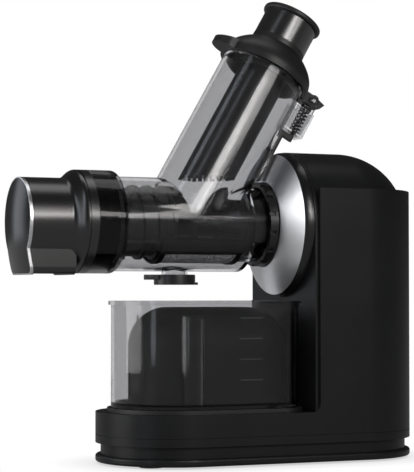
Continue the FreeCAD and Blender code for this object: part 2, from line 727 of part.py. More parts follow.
def hex_front():
    return PANEL_FRONT - SEAL_WIDTH - HEX_LENGTH


def drive_shaft():
    hexagon = hexagon_x(HEX_ACROSS, hex_front(), PANEL_FRONT - SEAL_WIDTH)
    return joined([hexagon, rod_x(DRIVE_SHAFT_RADIUS, PANEL_FRONT - SEAL_WIDTH, CASE_BACK - LOOSE)])


# Gearbox

def gear_tip(teeth):
    return GEAR_MODULE * (teeth / 2 + TOOTH_ADDENDUM)


def hub_inner():
    return DRIVE_SHAFT_RADIUS + RUNNING + BEARING_WALL


def hub_outer():
    return hub_inner() + HUB_WALL


def gearbox_form(margin, x0, x1):
    """The gearbox outline round all three gears, grown by a margin."""
    top = rod_x(gear_tip(DRIVE_TEETH) + CASE_GAP + margin, x0, x1)
    half = gear_tip(COUNTER_TEETH) + CASE_GAP + margin
    bottom = MOTOR_Z - gear_tip(PINION_TEETH) - CASE_GAP - margin
    return joined([top, box(x0, x1, -half, half, bottom, AXIS_HEIGHT)])


def gearbox_screw_places():
    side = gear_tip(COUNTER_TEETH) + CASE_GAP - BOSS_RADIUS + CASE_WALL
    low = MOTOR_Z - gear_tip(PINION_TEETH) - CASE_GAP + BOSS_RADIUS - CASE_WALL
    high = AXIS_HEIGHT - COUNTER_TO_DRIVE + gear_tip(COUNTER_TEETH)
    return [(-side, low), (side, low), (-side, high - BOSS_RADIUS), (side, high - BOSS_RADIUS)]


def gearbox_case():
    case = gearbox_form(CASE_WALL, COVER_BACK, CASE_BACK).cut(gearbox_form(0, COVER_BACK, CASE_FLOOR))
    bearing_hub = rod_x(hub_outer(), DRIVE_GEAR_BACK + GEAR_SIDE_GAP, CASE_FLOOR)
    corner_posts = [rod_x(BOSS_RADIUS, COVER_BACK, CASE_BACK, z, y) for y, z in gearbox_screw_places()[:2]]
    case = joined([case, bearing_hub] + corner_posts)
    cuts = [rod_x(hub_inner(), DRIVE_GEAR_BACK, CASE_BACK),
            rod_x(COUNTER_SHAFT_RADIUS + RUNNING + BUSH_RING, CASE_FLOOR, CASE_BACK, COUNTER_Z),
            rod_x(MOTOR_SHAFT_RADIUS + SLIP, CASE_FLOOR, CASE_BACK, MOTOR_Z)]
    screw = BOLT_RADIUS + RUNNING
    cuts += [rod_x(screw, COVER_BACK, CASE_BACK, z, y) for y, z in gearbox_screw_places()[:2]]
    cuts += [rod_x(screw, CASE_FLOOR, CASE_BACK, z, y) for y, z in motor_bolt_places()]
    return case.cut(Part.makeCompound(cuts))


def gearbox_cover():
    plate = gearbox_form(CASE_WALL, COVER_FRONT, COVER_BACK)
    hub = rod_x(hub_outer(), PANEL_BACK, COVER_BACK)
    feet = [rod_x(BOSS_RADIUS, PANEL_BACK, COVER_FRONT, z, y) for y, z in gearbox_screw_places()]
    cover = joined([plate, hub] + feet)
    cuts = [rod_x(hub_inner(), PANEL_BACK, COVER_BACK),
            rod_x(COUNTER_SHAFT_RADIUS + RUNNING + BUSH_RING, COVER_FRONT, COVER_BACK, COUNTER_Z)]
    screw = BOLT_RADIUS + RUNNING
    cuts += [rod_x(screw, PANEL_BACK, COVER_BACK, z, y) for y, z in gearbox_screw_places()[:2]]
    return cover.cut(Part.makeCompound(cuts))


def gearbox_screws():
    length = SCREW_LENGTH + COVER_BACK - PANEL_BACK
    return [rod_x(BOLT_RADIUS, PANEL_BACK, PANEL_BACK + length, z, y) for y, z in gearbox_screw_places()[:2]]


def drive_bearings():
    spans = [(PANEL_BACK, COVER_BACK), (DRIVE_GEAR_BACK + GEAR_SIDE_GAP, CASE_BACK)]
    return [tube_x(hub_inner(), DRIVE_SHAFT_RADIUS + RUNNING, x0, x1) for x0, x1 in spans]


def counter_bushes():
    outer = COUNTER_SHAFT_RADIUS + RUNNING + BUSH_RING
    spans = [(COVER_FRONT, COVER_BACK), (CASE_FLOOR, CASE_BACK)]
    return [tube_x(outer, COUNTER_SHAFT_RADIUS + RUNNING, x0, x1, COUNTER_Z) for x0, x1 in spans]


# Motor

def motor_bolt_places():
    reach = (STATOR_RADIUS + WINDING_OUTER) / 2 * math.sqrt(0.5)
    return [(sy * reach, MOTOR_Z + sz * reach) for sy in (-1, 1) for sz in (-1, 1)]


def bolt_bores(x0, x1):
    return Part.makeCompound([rod_x(BOLT_RADIUS + RUNNING, x0, x1, z, y) for y, z in motor_bolt_places()])


def stator():
    ring = tube_x(STATOR_RADIUS, ROTOR_RADIUS + AIR_GAP, STATOR_FRONT, STATOR_BACK, MOTOR_Z)
    return ring.cut(bolt_bores(STATOR_FRONT, STATOR_BACK))


def stator_windings():
    spans = [(STATOR_FRONT - WINDING_LENGTH, STATOR_FRONT), (STATOR_BACK, STATOR_BACK + WINDING_LENGTH)]
    outer = WINDING_OUTER - 2 * BOLT_RADIUS
    return [tube_x(outer, WINDING_INNER, x0, x1, MOTOR_Z) for x0, x1 in spans]


def motor_bracket(plate_front, plate_back, ring_front, ring_back):
    """An end bracket: a plate with the bearing's seat and a rim that meets the stator."""
    plate = rod_x(STATOR_RADIUS, plate_front, plate_back, MOTOR_Z)
    rim = tube_x(STATOR_RADIUS, STATOR_RADIUS - BRACKET_WALL, ring_front, ring_back, MOTOR_Z)
    lugs = [rod_x(BOLT_RADIUS + BRACKET_WALL, ring_front, ring_back, z, y)
            .common(rod_x(STATOR_RADIUS, ring_front, ring_back, MOTOR_Z)) for y, z in motor_bolt_places()]
    bracket = joined([plate, rim] + lugs)
    return bracket.cut(bolt_bores(plate_front - STATOR_LENGTH, plate_back + STATOR_LENGTH))


def bearing_hub(x0, x1):
    return rod_x(MOTOR_BEARING_RADIUS + BRACKET_WALL, x0, x1, MOTOR_Z)


def motor_front_bracket():
    plate_back = CASE_BACK + BRACKET_PLATE
    bracket = motor_bracket(CASE_BACK, plate_back, plate_back, STATOR_FRONT)
    hub_back = CASE_BACK + MOTOR_BEARING_WIDTH
    bracket = joined([bracket, bearing_hub(CASE_BACK, hub_back)])
    return bracket.cut(rod_x(MOTOR_BEARING_RADIUS, CASE_BACK, hub_back, MOTOR_Z))


def motor_rear_bracket():
    bracket = motor_bracket(REAR_PLATE_FRONT, REAR_PLATE_BACK, STATOR_BACK, REAR_PLATE_FRONT)
    hub_front = REAR_PLATE_BACK - MOTOR_BEARING_WIDTH
    bracket = joined([bracket, bearing_hub(hub_front, REAR_PLATE_BACK)])
    return bracket.cut(rod_x(MOTOR_BEARING_RADIUS, hub_front, REAR_PLATE_BACK, MOTOR_Z))


def motor_bearings():
    starts = (CASE_BACK, REAR_PLATE_BACK - MOTOR_BEARING_WIDTH)
    return [tube_x(MOTOR_BEARING_RADIUS, MOTOR_SHAFT_RADIUS + RUNNING, x, x + MOTOR_BEARING_WIDTH, MOTOR_Z)
            for x in starts]


def motor_bolts():
    bolts = []
    for y, z in motor_bolt_places():
        head = rod_x(BOLT_HEAD_RADIUS, REAR_PLATE_BACK, REAR_PLATE_BACK + BOLT_HEAD_HEIGHT, z, y)
        bolts.append(joined([head, rod_x(BOLT_RADIUS, CASE_FLOOR + LOOSE, REAR_PLATE_BACK, z, y)]))
    return bolts


def motor_shaft():
    return rod_x(MOTOR_SHAFT_RADIUS, COUNTER_GEAR_FRONT - GEAR_SIDE_GAP, FAN_FRONT + FAN_WIDTH, MOTOR_Z)


def rotor_core():
    return tube_x(ROTOR_RADIUS, MOTOR_SHAFT_RADIUS, STATOR_FRONT, STATOR_BACK, MOTOR_Z)


def cooling_fan():
    hub = rod_x(FAN_HUB_RADIUS, FAN_FRONT, FAN_FRONT + FAN_WIDTH, MOTOR_Z)
    blade = box(FAN_FRONT, FAN_FRONT + FAN_WIDTH, 0, FAN_RADIUS,
                MOTOR_Z - FAN_BLADE_THICKNESS / 2, MOTOR_Z + FAN_BLADE_THICKNESS / 2)
    blades = []
    for k in range(FAN_BLADES):
        turned = blade.copy()
        turned.rotate(V(0, 0, MOTOR_Z), X_DIR, 360.0 * k / FAN_BLADES)
        blades.append(turned)
    disc = rod_x(FAN_RADIUS, FAN_FRONT, FAN_FRONT + FAN_BLADE_THICKNESS, MOTOR_Z)
    fan = joined([hub, disc] + blades)
    return fan.cut(rod_x(MOTOR_SHAFT_RADIUS, FAN_FRONT, FAN_FRONT + FAN_WIDTH, MOTOR_Z))


# Electrical pieces in the base

def board_post_places():
    along = BOARD_LENGTH / 2 - BOSS_RADIUS
    side = BOARD_WIDTH / 2 - BOSS_RADIUS
    return [(BASE_X - BOARD_CENTRE + dx, dy) for dx in (-along, along) for dy in (-side, side)]


def board_bottom():
    return FLOOR_TOP + BOARD_POST_HEIGHT


def control_board():
    x = BASE_X - BOARD_CENTRE
    return box(x - BOARD_LENGTH / 2, x + BOARD_LENGTH / 2, -BOARD_WIDTH / 2, BOARD_WIDTH / 2,
               board_bottom(), board_bottom() + BOARD_THICKNESS)


def run_capacitor():
    length, width, height = CAPACITOR_SIZE
    x = BASE_X - BOARD_CENTRE
    z = board_bottom() + BOARD_THICKNESS
    return box(x - length / 2, x + length / 2, -width / 2, width / 2, z, z + height)


def switch_x():
    return REAR_CENTRE - SWITCH_OFFSET


def switch_height():
    return (BAND_BOTTOM + PARTING_HEIGHT + PARTING_GROOVE + DECK_TOP - DECK_THICKNESS) / 2


def gland_height():
    return switch_height()


def switch_bezel():
    """The rocker's frame, set in a window of the band from inside, with its face flush outside."""
    x, z = switch_x(), switch_height()
    half_x, half_z = SWITCH_LENGTH / 2, SWITCH_HEIGHT / 2
    inside = BASE_RADIUS - SHELL_WALL
    back = BASE_RADIUS - SWITCH_DEPTH
    plug = box(x - half_x, x + half_x, back, BASE_RADIUS - LOOSE, z - half_z, z + half_z)
    side_flange = min(SWITCH_FLANGE, DECK_TOP - DECK_THICKNESS - z - half_z - RUNNING)
    flange = box(x - half_x - SWITCH_FLANGE, x + half_x + SWITCH_FLANGE, inside - SWITCH_FLANGE, inside,
                 z - half_z - side_flange, z + half_z + side_flange)
    frame = joined([plug, flange])
    well = box(x - half_x + SWITCH_FRAME, x + half_x - SWITCH_FRAME, back + SWITCH_FRAME, BASE_RADIUS,
               z - half_z + SWITCH_FRAME, z + half_z - SWITCH_FRAME)
    pin = rod_z(ROCKER_PIN_RADIUS, x, BASE_RADIUS - ROCKER_PIVOT_DEPTH, z - half_z, z + half_z)
    return joined([frame.cut(well), pin])


def rocker():
    """The rocker turns on an upright pin, proud on one half and sunk on the other."""
    x, z = switch_x(), switch_height()
    half_x = SWITCH_LENGTH / 2 - SWITCH_FRAME - 2 * SLIP
    half_z = SWITCH_HEIGHT / 2 - SWITCH_FRAME - LOOSE
    pivot = BASE_RADIUS - ROCKER_PIVOT_DEPTH
    face = BASE_RADIUS - 2 * SLIP
    outline = [(x - half_x, pivot - SLIP), (x - half_x, face), (x, face - 2 * SLIP), (x + half_x, face),
               (x + half_x, pivot - SLIP)]
    points = [V(px, py, z - half_z) for px, py in outline]
    body = Part.Face(Part.makePolygon(points + points[:1])).extrude(V(0, 0, 2 * half_z))
    knuckle = rod_z(2 * ROCKER_PIN_RADIUS, x, pivot, z - half_z, z + half_z)
    return joined([body, knuckle]).cut(rod_z(ROCKER_PIN_RADIUS + RUNNING, x, pivot, z - half_z, z + half_z))


def cord_gland():
    """A bushed inlet in the back of the band, flush with the wall outside."""
    outside = REAR_CENTRE + BASE_RADIUS - LOOSE
    inside = REAR_CENTRE + BASE_RADIUS - SHELL_WALL
    z = gland_height()
    body = rod_x(GLAND_RADIUS, outside - GLAND_LENGTH, outside, z)
    nut = rod_x(GLAND_RADIUS + SHELL_WALL / 2, outside - GLAND_LENGTH, inside - 3 * LOOSE, z)
    return joined([body, nut]).cut(rod_x(GLAND_BORE, outside - GLAND_LENGTH, outside, z))


# Juicing drum: one clear moulding with barrel, trough, neck, chute, spout and spring pocket

def lower_half(shape, z):
    return shape.common(box(CAP_APEX, PANEL_BACK, -BASE_WIDTH, BASE_WIDTH, 0, z))


def chute_rod(radius, z0, z1):
    return on_chute(Part.makeCylinder(radius, z1 - z0, V(0, 0, z0)))


def pocket_block():
    half = POCKET_WIDTH / 2
    return box(CHUTE_RADIUS - CHUTE_WALL / 2, POCKET_OUTER, -half, half, POCKET_BOTTOM, POCKET_TOP)


def pocket_hollow():
    half = POCKET_WIDTH / 2 - POCKET_WALL
    return box(CHUTE_RADIUS, POCKET_OUTER - POCKET_WALL, -half, half, POCKET_FLOOR, POCKET_TOP)


def hinge_ears():
    inner = HINGE_WIDTH / 2 + LOOSE
    ears = []
    for y in (-inner - EAR_THICKNESS, inner):
        strap = box(HINGE_X - KNUCKLE_RADIUS, HINGE_X + KNUCKLE_RADIUS, y, y + EAR_THICKNESS,
                    POCKET_BOTTOM + POCKET_DEPTH / 2, HINGE_Z)
        eye = Part.makeCylinder(KNUCKLE_RADIUS, EAR_THICKNESS, V(HINGE_X, y, HINGE_Z), Y_DIR)
        ears.append(joined([strap, eye]))
    return ears


def rod_guide():
    """An open channel on the chute's outer side that keeps the safety rod in line."""
    bottom = POCKET_BOTTOM - ROD_LENGTH + ROD_RADIUS
    outer = ROD_RADIUS + SLIP + POCKET_WALL
    return box(CHUTE_RADIUS - CHUTE_WALL / 2, ROD_X, -outer, outer, bottom, bottom + ROD_GUIDE_HEIGHT)


def juicing_drum():
    collar = rounded(rod_x(COLLAR_RADIUS, DRUM_FRONT, BARREL_FRONT), COLLAR_EDGE_RADIUS,
                     lambda e: e.BoundBox.XMin > BARREL_FRONT - NEAR)
    trough = lower_half(rod_x(TROUGH_RADIUS, BARREL_FRONT - COLLAR_LENGTH / 2, DRUM_BACK),
                        AXIS_HEIGHT - TROUGH_RIM_DROP)
    outer = joined([collar, rod_x(BARREL_RADIUS, BARREL_FRONT - COLLAR_LENGTH / 2, DRUM_BACK), trough,
                    rod_x(NECK_RADIUS, DRUM_BACK - NECK_WALL, NECK_END),
                    chute_rod(CHUTE_RADIUS, 0, CHUTE_LENGTH),
                    rod_z(SPOUT_RADIUS, SPOUT_X, 0, AXIS_HEIGHT - SPOUT_DROP, AXIS_HEIGHT - BARREL_RADIUS),
                    on_chute(pocket_block()), on_chute(rod_guide())])
    barrel_bore = rod_x(BARREL_RADIUS - BARREL_WALL, DRUM_FRONT, DRUM_BACK - BARREL_WALL)
    trough_bore = lower_half(rod_x(TROUGH_RADIUS - TROUGH_WALL, BARREL_FRONT, DRUM_BACK - TROUGH_WALL),
                             AXIS_HEIGHT - TROUGH_RIM_DROP - TROUGH_WALL)
    neck_bore = rod_x(NECK_RADIUS - NECK_WALL, DRUM_BACK - 2 * BARREL_WALL, NECK_END - NECK_WALL)
    inner = joined([barrel_bore, trough_bore, neck_bore,
                    rod_x(plug_radius() + LOOSE, DRUM_FRONT, DRUM_FRONT + COLLAR_BORE_DEPTH),
                    rod_x(AUGER_SHANK_RADIUS + SEAL_WALL, NECK_END - 2 * NECK_WALL, NECK_END),
                    chute_rod(CHUTE_RADIUS - CHUTE_WALL, 0, CHUTE_LENGTH),
                    rod_z(SPOUT_RADIUS - SPOUT_WALL, SPOUT_X, 0, AXIS_HEIGHT - SPOUT_DROP, AXIS_HEIGHT)])
    drum = outer.cut(inner)
    drum = drum.cut(on_chute(pocket_hollow()))
    drum = drum.cut(on_chute(rod_clearance()))
    ears = [on_chute(ear) for ear in hinge_ears()]
    drum = joined([drum] + ears)
    pin_hole = Part.makeCylinder(HINGE_PIN_RADIUS, BASE_WIDTH, V(HINGE_X, -BASE_WIDTH / 2, HINGE_Z), Y_DIR)
    return drum.cut(on_chute(pin_hole))


def plug_radius():
    return COLLAR_RADIUS - BARREL_WALL - LOOSE


def lock_ring():
    inner, outer = NECK_RADIUS, NECK_RADIUS + LOCK_RING_WALL
    x1 = TRIM_FRONT - LOOSE
    x0 = x1 - LOCK_RING_WIDTH
    ring = tube_x(outer, inner, x0, x1)
    notches = []
    for k in range(LOCK_NOTCHES):
        notch = box(x0, x1 - LOCK_RING_WIDTH / 3, -LOCK_NOTCH_WIDTH / 2, LOCK_NOTCH_WIDTH / 2,
                    AXIS_HEIGHT + inner + LOCK_RING_WALL / 2, AXIS_HEIGHT + outer + PAST)
        notch.rotate(V(0, 0, AXIS_HEIGHT), X_DIR, 360.0 * k / LOCK_NOTCHES)
        notches.append(notch)
    return ring.cut(Part.makeCompound(notches))


def auger_seal():
    return tube_x(AUGER_SHANK_RADIUS + SEAL_WALL, AUGER_SHANK_RADIUS + RUNNING,
                  NECK_END - NECK_WALL, NECK_END)


def collar_seal():
    back = DRUM_FRONT + COLLAR_BORE_DEPTH
    return tube_x(plug_radius() + LOOSE, BARREL_RADIUS - BARREL_WALL, back - SEAL_WIDTH, back)


# Filter basket under the auger

def filter_outer():
    return BARREL_RADIUS - BARREL_WALL - LOOSE


def filter_front():
    return filter_back() - FILTER_LENGTH


def filter_back():
    return DRUM_BACK - 2 * BARREL_WALL


def wedge_below(radius, x0, x1, span):
    """A slice of a cylinder centred on straight down."""
    slice_ = Part.makeCylinder(radius, x1 - x0, V(x0, 0, AXIS_HEIGHT), X_DIR, span)
    low = slice_.CenterOfMass
    turn = math.degrees(math.atan2(low.z - AXIS_HEIGHT, low.y))
    slice_.rotate(V(0, 0, AXIS_HEIGHT), X_DIR, -90 - turn)
    return slice_


def filter_frame():
    outer = filter_outer()
    inner = AUGER_RADIUS + FILTER_GAP
    front, back = filter_front(), filter_back()
    whole = wedge_below(outer, front, back, FILTER_SPAN + 2 * FILTER_RAIL_SPAN)
    whole = whole.cut(rod_x(inner, front, back))
    window = wedge_below(outer + PAST, front + FILTER_RING_WIDTH, back - FILTER_RING_WIDTH, FILTER_SPAN)
    return whole.cut(window)


def filter_mesh():
    outer = filter_outer()
    front, back = filter_front() + FILTER_RING_WIDTH, filter_back() - FILTER_RING_WIDTH
    sheet = wedge_below(outer - FILTER_SHEET, front, back, FILTER_SPAN)
    sheet = sheet.cut(rod_x(outer - 2 * FILTER_SHEET, front, back))
    slots = []
    for row in range(FILTER_SLOT_ROWS):
        tilt = FILTER_SPAN * ((row + 1) / (FILTER_SLOT_ROWS + 1) - 0.5)
        for column in range(FILTER_SLOT_COLUMNS):
            x = front + (back - front) * (column + 1) / (FILTER_SLOT_COLUMNS + 1)
            slot = box(x - FILTER_SLOT_LENGTH / 2, x + FILTER_SLOT_LENGTH / 2,
                       -FILTER_SLOT_WIDTH / 2, FILTER_SLOT_WIDTH / 2,
                       AXIS_HEIGHT - outer, AXIS_HEIGHT - outer + 3 * FILTER_SHEET)
            slot.rotate(V(0, 0, AXIS_HEIGHT), X_DIR, tilt)
            slots.append(slot)
    return sheet.cut(Part.makeCompound(slots))


# Auger

def flight_turn(root, pitch, x0, length, start_angle):
    """Up to one turn of a helical flight along X, thick at its root."""
    spine = Part.makeHelix(pitch, length, root)
    sunk = root - FLIGHT_ROOT_WIDTH / 2
    foot, crest = FLIGHT_ROOT_WIDTH / 2, FLIGHT_TIP_WIDTH / 2
    section = Part.makePolygon([V(sunk, 0, -foot), V(AUGER_RADIUS, 0, -crest), V(AUGER_RADIUS, 0, crest),
                                V(sunk, 0, foot), V(sunk, 0, -foot)])
    sweep = Part.BRepOffsetAPI.MakePipeShell(spine)
    sweep.setBiNormalMode(Z_DIR)
    sweep.add(section)
    sweep.build()
    sweep.makeSolid()
    solid = sweep.shape()
    solid.rotate(V(0, 0, 0), Z_DIR, start_angle)
    solid.rotate(V(0, 0, 0), Y_DIR, 90)
    solid.translate(V(x0, 0, AXIS_HEIGHT))
    return solid


def flight(root, pitch, x0, x1, start_angle):
    """A helical flight from x0 to x1, as a list of turns that meet end to end."""
    turns = []
    x = x0
    while x1 - x > FLIGHT_TIP_WIDTH:
        length = min(pitch, x1 - x)
        turns.append(flight_turn(root, pitch, x, length, start_angle))
        x += length
    return turns


def auger_tip_end():
    return FLARE_FRONT + CAP_FLARE_LENGTH / 2


def auger():
    thread_front = BARREL_FRONT + FLIGHT_ROOT_WIDTH
    thread_back = thread_front + AUGER_THREAD_LENGTH
    hub_front = DRUM_BACK - FLIGHT_ROOT_WIDTH
    feed_back = hub_front - AUGER_HUB_RADIUS / 2
    feed_front = thread_back + AUGER_THREAD_ROOT / 2
    tip_back = auger_tip_end() + AUGER_TIP_LENGTH
    shank_end = NECK_END - LOOSE
    hub_back = NECK_END - 2 * NECK_WALL - SLIP
    core = turned_x([(auger_tip_end(), 0), (auger_tip_end(), AUGER_TIP_RADIUS), (tip_back, AUGER_TIP_RADIUS),
                     (tip_back, AUGER_FEED_ROOT), (thread_front, AUGER_THREAD_ROOT),
                     (thread_back, AUGER_THREAD_ROOT), (feed_front, AUGER_FEED_ROOT),
                     (feed_back, AUGER_FEED_ROOT), (hub_front, AUGER_HUB_RADIUS),
                     (hub_back, AUGER_HUB_RADIUS),
                     (hub_back, AUGER_SHANK_RADIUS), (shank_end, AUGER_SHANK_RADIUS), (shank_end, 0)])
    thread = flight(AUGER_THREAD_ROOT, AUGER_THREAD_PITCH, thread_front + FLIGHT_ROOT_WIDTH / 2,
                    thread_back, 0)
    feed = flight(AUGER_FEED_ROOT, AUGER_FEED_PITCH, thread_back, hub_front - FLIGHT_ROOT_WIDTH / 2,
                  AUGER_FEED_START)
    body = core
    for turn in thread + feed:
        body = body.fuse(turn)
    return body.cut(hexagon_x(HEX_ACROSS + 2 * LOOSE, hex_front() - LOOSE, shank_end))


# Front cap with its pulp spout, gloss face and thin trim

def shield_face(inset, x):
    """The cap's front outline, drawn in by an inset: a circle with the spout's block below it."""
    radius = CAP_RADIUS - inset
    half = PULP_SPOUT_HALF_WIDTH - inset
    drop = math.sqrt(radius ** 2 - half ** 2)
    low = PULP_SPOUT_DROP - inset
    bend = PULP_SPOUT_CORNER - inset
    middle = bend * (1 - math.sqrt(0.5))

    def at(y, z):
        return V(x, y, AXIS_HEIGHT + z)

    edges = [Part.Arc(at(half, -drop), at(0, radius), at(-half, -drop)),
             Part.LineSegment(at(-half, -drop), at(-half, bend - low)),
             Part.Arc(at(-half, bend - low), at(middle - half, middle - low), at(bend - half, -low)),
             Part.LineSegment(at(bend - half, -low), at(half - bend, -low)),
             Part.Arc(at(half - bend, -low), at(half - middle, middle - low), at(half, bend - low)),
             Part.LineSegment(at(half, bend - low), at(half, -drop))]
    return Part.Face(Part.Wire([edge.toShape() for edge in edges]))


def shield(inset, x0, x1):
    return shield_face(inset, x0).extrude(V(x1 - x0, 0, 0))


def cap_dome(setback):
    """The ball whose front side is the cap's gently domed face."""
    radius = (CAP_RADIUS ** 2 + CAP_DOME ** 2) / (2 * CAP_DOME)
    return Part.makeSphere(radius, V(CAP_APEX + setback + radius, 0, AXIS_HEIGHT))


def cap_flare():
    """The bell between the cap's barrel and its flange, as (x, radius) points."""
    points = []
    for k in range(CAP_FLARE_STEPS + 1):
        share = k / CAP_FLARE_STEPS
        swell = (1 - math.cos(math.pi * share)) / 2
        points.append((FLARE_FRONT + CAP_FLARE_LENGTH * share,
                       CAP_RADIUS + (COLLAR_RADIUS - CAP_RADIUS) * swell))
    return points


def front_cap():
    spout_back = CAP_RIM + PULP_SPOUT_LENGTH
    block = shield(0, CAP_APEX, spout_back)
    groove_back = FLARE_BACK + CAP_GROOVE_WIDTH
    groove = COLLAR_RADIUS - CAP_GROOVE_DEPTH
    barrel = turned_x([(CAP_APEX, 0), (CAP_APEX, CAP_RADIUS)] + cap_flare()
                      + [(FLARE_BACK, groove), (groove_back, groove), (groove_back, COLLAR_RADIUS),
                         (DRUM_FRONT - LOOSE, COLLAR_RADIUS), (DRUM_FRONT - LOOSE, 0)])
    plug = rod_x(plug_radius(), FLARE_BACK, DRUM_FRONT + CAP_PLUG_LENGTH)
    outer = joined([block, barrel, plug]).common(cap_dome(CAP_FACE_THICKNESS))
    front = CAP_RIM + CAP_DOME + CAP_WALL
    bore = rod_x(CAP_RADIUS - CAP_WALL, front, DRUM_FRONT + CAP_PLUG_LENGTH)
    half = PULP_SPOUT_HALF_WIDTH - CAP_WALL
    chute = box(front, spout_back - CAP_WALL, -half, half, AXIS_HEIGHT - PULP_SPOUT_DROP - PAST, AXIS_HEIGHT)
    hub_radius = AUGER_TIP_RADIUS + RUNNING + BUSH_WALL
    hub = rod_x(hub_radius + CAP_HUB_WALL, front - CAP_WALL / 2, auger_tip_end() + BUSH_LENGTH)
    cap = joined([outer.cut(joined([bore, chute])), hub])
    return cap.cut(rod_x(hub_radius, auger_tip_end() - LOOSE, auger_tip_end() + BUSH_LENGTH))


def cap_layer(shape):
    """What lies between the cap's front and the face's outer dome."""
    return shape.common(cap_dome(0)).cut(cap_dome(CAP_FACE_THICKNESS))


def cap_trim():
    front = CAP_APEX - PAST
    band = shield(0, front, FLARE_FRONT).cut(shield(CAP_TRIM_WIDTH, front, FLARE_FRONT))
    return cap_layer(band)


def cap_face():
    return cap_layer(shield(CAP_TRIM_WIDTH + RUNNING, CAP_APEX - PAST, FLARE_FRONT))


def auger_bush():
    inner = AUGER_TIP_RADIUS + RUNNING
    return tube_x(inner + BUSH_WALL, inner, auger_tip_end(), auger_tip_end() + BUSH_LENGTH)


# Drip stop under the juice spout

def drip_stop():
    z1 = AXIS_HEIGHT - TROUGH_RADIUS - DRIP_GAP
    z0 = z1 - DRIP_HEIGHT
    cup = rod_z(DRIP_RADIUS, SPOUT_X, 0, z0, z1)
    lever = box(SPOUT_X - DRIP_LEVER_LENGTH, SPOUT_X, -DRIP_LEVER_WIDTH / 2, DRIP_LEVER_WIDTH / 2,
                z1 - DRIP_LEVER_THICKNESS, z1)
    stub = box(SPOUT_X, SPOUT_X + DRIP_RADIUS + DRIP_STUB_REACH, -DRIP_LEVER_WIDTH / 4, DRIP_LEVER_WIDTH / 4,
               z0, z0 + DRIP_LEVER_THICKNESS / 2)
    body = joined([cup, lever, stub])
    body = body.cut(rod_z(SPOUT_RADIUS + RUNNING, SPOUT_X, 0, z0 + DRIP_FLOOR, z1))
    return body.cut(rod_z(DRIP_HOLE_RADIUS, SPOUT_X, 0, z0, z1))


def drip_seal():
    z0 = AXIS_HEIGHT - TROUGH_RADIUS - DRIP_GAP - DRIP_HEIGHT + DRIP_FLOOR
    z1 = AXIS_HEIGHT - SPOUT_DROP - RUNNING
    return rod_z(SPOUT_RADIUS - RUNNING, SPOUT_X, 0, z0, z1).cut(rod_z(DRIP_HOLE_RADIUS, SPOUT_X, 0, z0, z1))


# Feed lid, its hinge, spring and safety rod, in the chute's frame

def lid_outer_at(height):
    """The dome's radius at a height above the lid's seat, on a quarter-ellipse-like profile."""
    neck = PUSHER_RADIUS + SLIP + LID_NECK_WALL
    rise = LID_HEIGHT - LID_RIM_HEIGHT - LID_NECK_HEIGHT
    share = min(max((height - LID_RIM_HEIGHT) / rise, 0), 1)
    return LID_RADIUS - (LID_RADIUS - neck) * share ** LID_CURVE


def feed_lid():
    rise = LID_HEIGHT - LID_RIM_HEIGHT - LID_NECK_HEIGHT
    steps = [LID_RIM_HEIGHT + rise * k / LID_STEPS for k in range(LID_STEPS + 1)]
    outside = [(LID_RADIUS, LID_SEAT)] + [(lid_outer_at(h), LID_SEAT + h) for h in steps]
    neck_inner = PUSHER_RADIUS + SLIP
    outside += [(neck_inner + LID_NECK_WALL, LID_TOP), (neck_inner, LID_TOP)]
    inside = [(max(lid_outer_at(h) - LID_WALL, neck_inner), LID_SEAT + h) for h in reversed(steps)]
    inside += [(LID_RADIUS - LID_WALL - LOOSE, LID_SEAT)]
    dome = turned_z(outside + inside)
    filled = turned_z([(0, LID_SEAT)] + outside[:-1] + [(0, LID_TOP)])
    spigot_outer = CHUTE_RADIUS - CHUTE_WALL - LID_SPIGOT_GAP
    spigot_foot = LID_SEAT - LID_SPIGOT_LENGTH
    spigot = turned_z([(spigot_outer - LID_WALL, spigot_foot), (spigot_outer, spigot_foot),
                       (spigot_outer, LID_TOP), (spigot_outer - LID_WALL, LID_TOP)])
    skirt = Part.makeCylinder(spigot_outer, LID_SPIGOT_LENGTH, V(0, 0, spigot_foot))
    spigot = spigot.common(joined([filled, skirt]))
    half = TAB_WIDTH / 2
    reach = LID_RADIUS + TAB_REACH
    root = LID_RADIUS - TAB_REACH
    tab = slab([(-root, LID_SEAT), (-reach, LID_SEAT), (-reach, LID_SEAT + TAB_RISE / 2),
                (-root, LID_SEAT + TAB_RISE)], half)
    plan = joined([Part.makeCylinder(half, LID_HEIGHT, V(half - reach, 0, LID_SEAT)),
                   box(half - reach, 0, -half, half, LID_SEAT, LID_TOP)])
    hollow = turned_z([(0, LID_SEAT)] + [(r - LID_WALL / 2, z) for r, z in outside[:-2]] + [(0, LID_TOP)])
    tab = tab.common(plan).cut(hollow)
    tail = HINGE_X + TAIL_REACH
    arm = slab([(LID_RADIUS - LID_WALL, HINGE_Z - KNUCKLE_RADIUS), (HINGE_X, HINGE_Z - KNUCKLE_RADIUS),
                (tail - LID_WALL, HINGE_Z - LID_WALL), (tail, HINGE_Z + LID_WALL),
                (HINGE_X, HINGE_Z + KNUCKLE_RADIUS), (LID_RADIUS - 2 * LID_WALL, HINGE_Z + KNUCKLE_RADIUS)],
               HINGE_WIDTH / 2)
    knuckle = Part.makeCylinder(KNUCKLE_RADIUS, HINGE_WIDTH, V(HINGE_X, -HINGE_WIDTH / 2, HINGE_Z), Y_DIR)
    lid = joined([dome, spigot, tab, joined([arm, knuckle]).cut(hollow)])
    bore = Part.makeCylinder(HINGE_PIN_RADIUS + RUNNING, HINGE_WIDTH, V(HINGE_X, -HINGE_WIDTH / 2, HINGE_Z),
                             Y_DIR)
    return on_chute(lid.cut(bore))


def lid_hinge_pin():
    length = HINGE_WIDTH + 2 * (LOOSE + EAR_THICKNESS)
    return on_chute(Part.makeCylinder(HINGE_PIN_RADIUS, length, V(HINGE_X, -length / 2, HINGE_Z), Y_DIR))


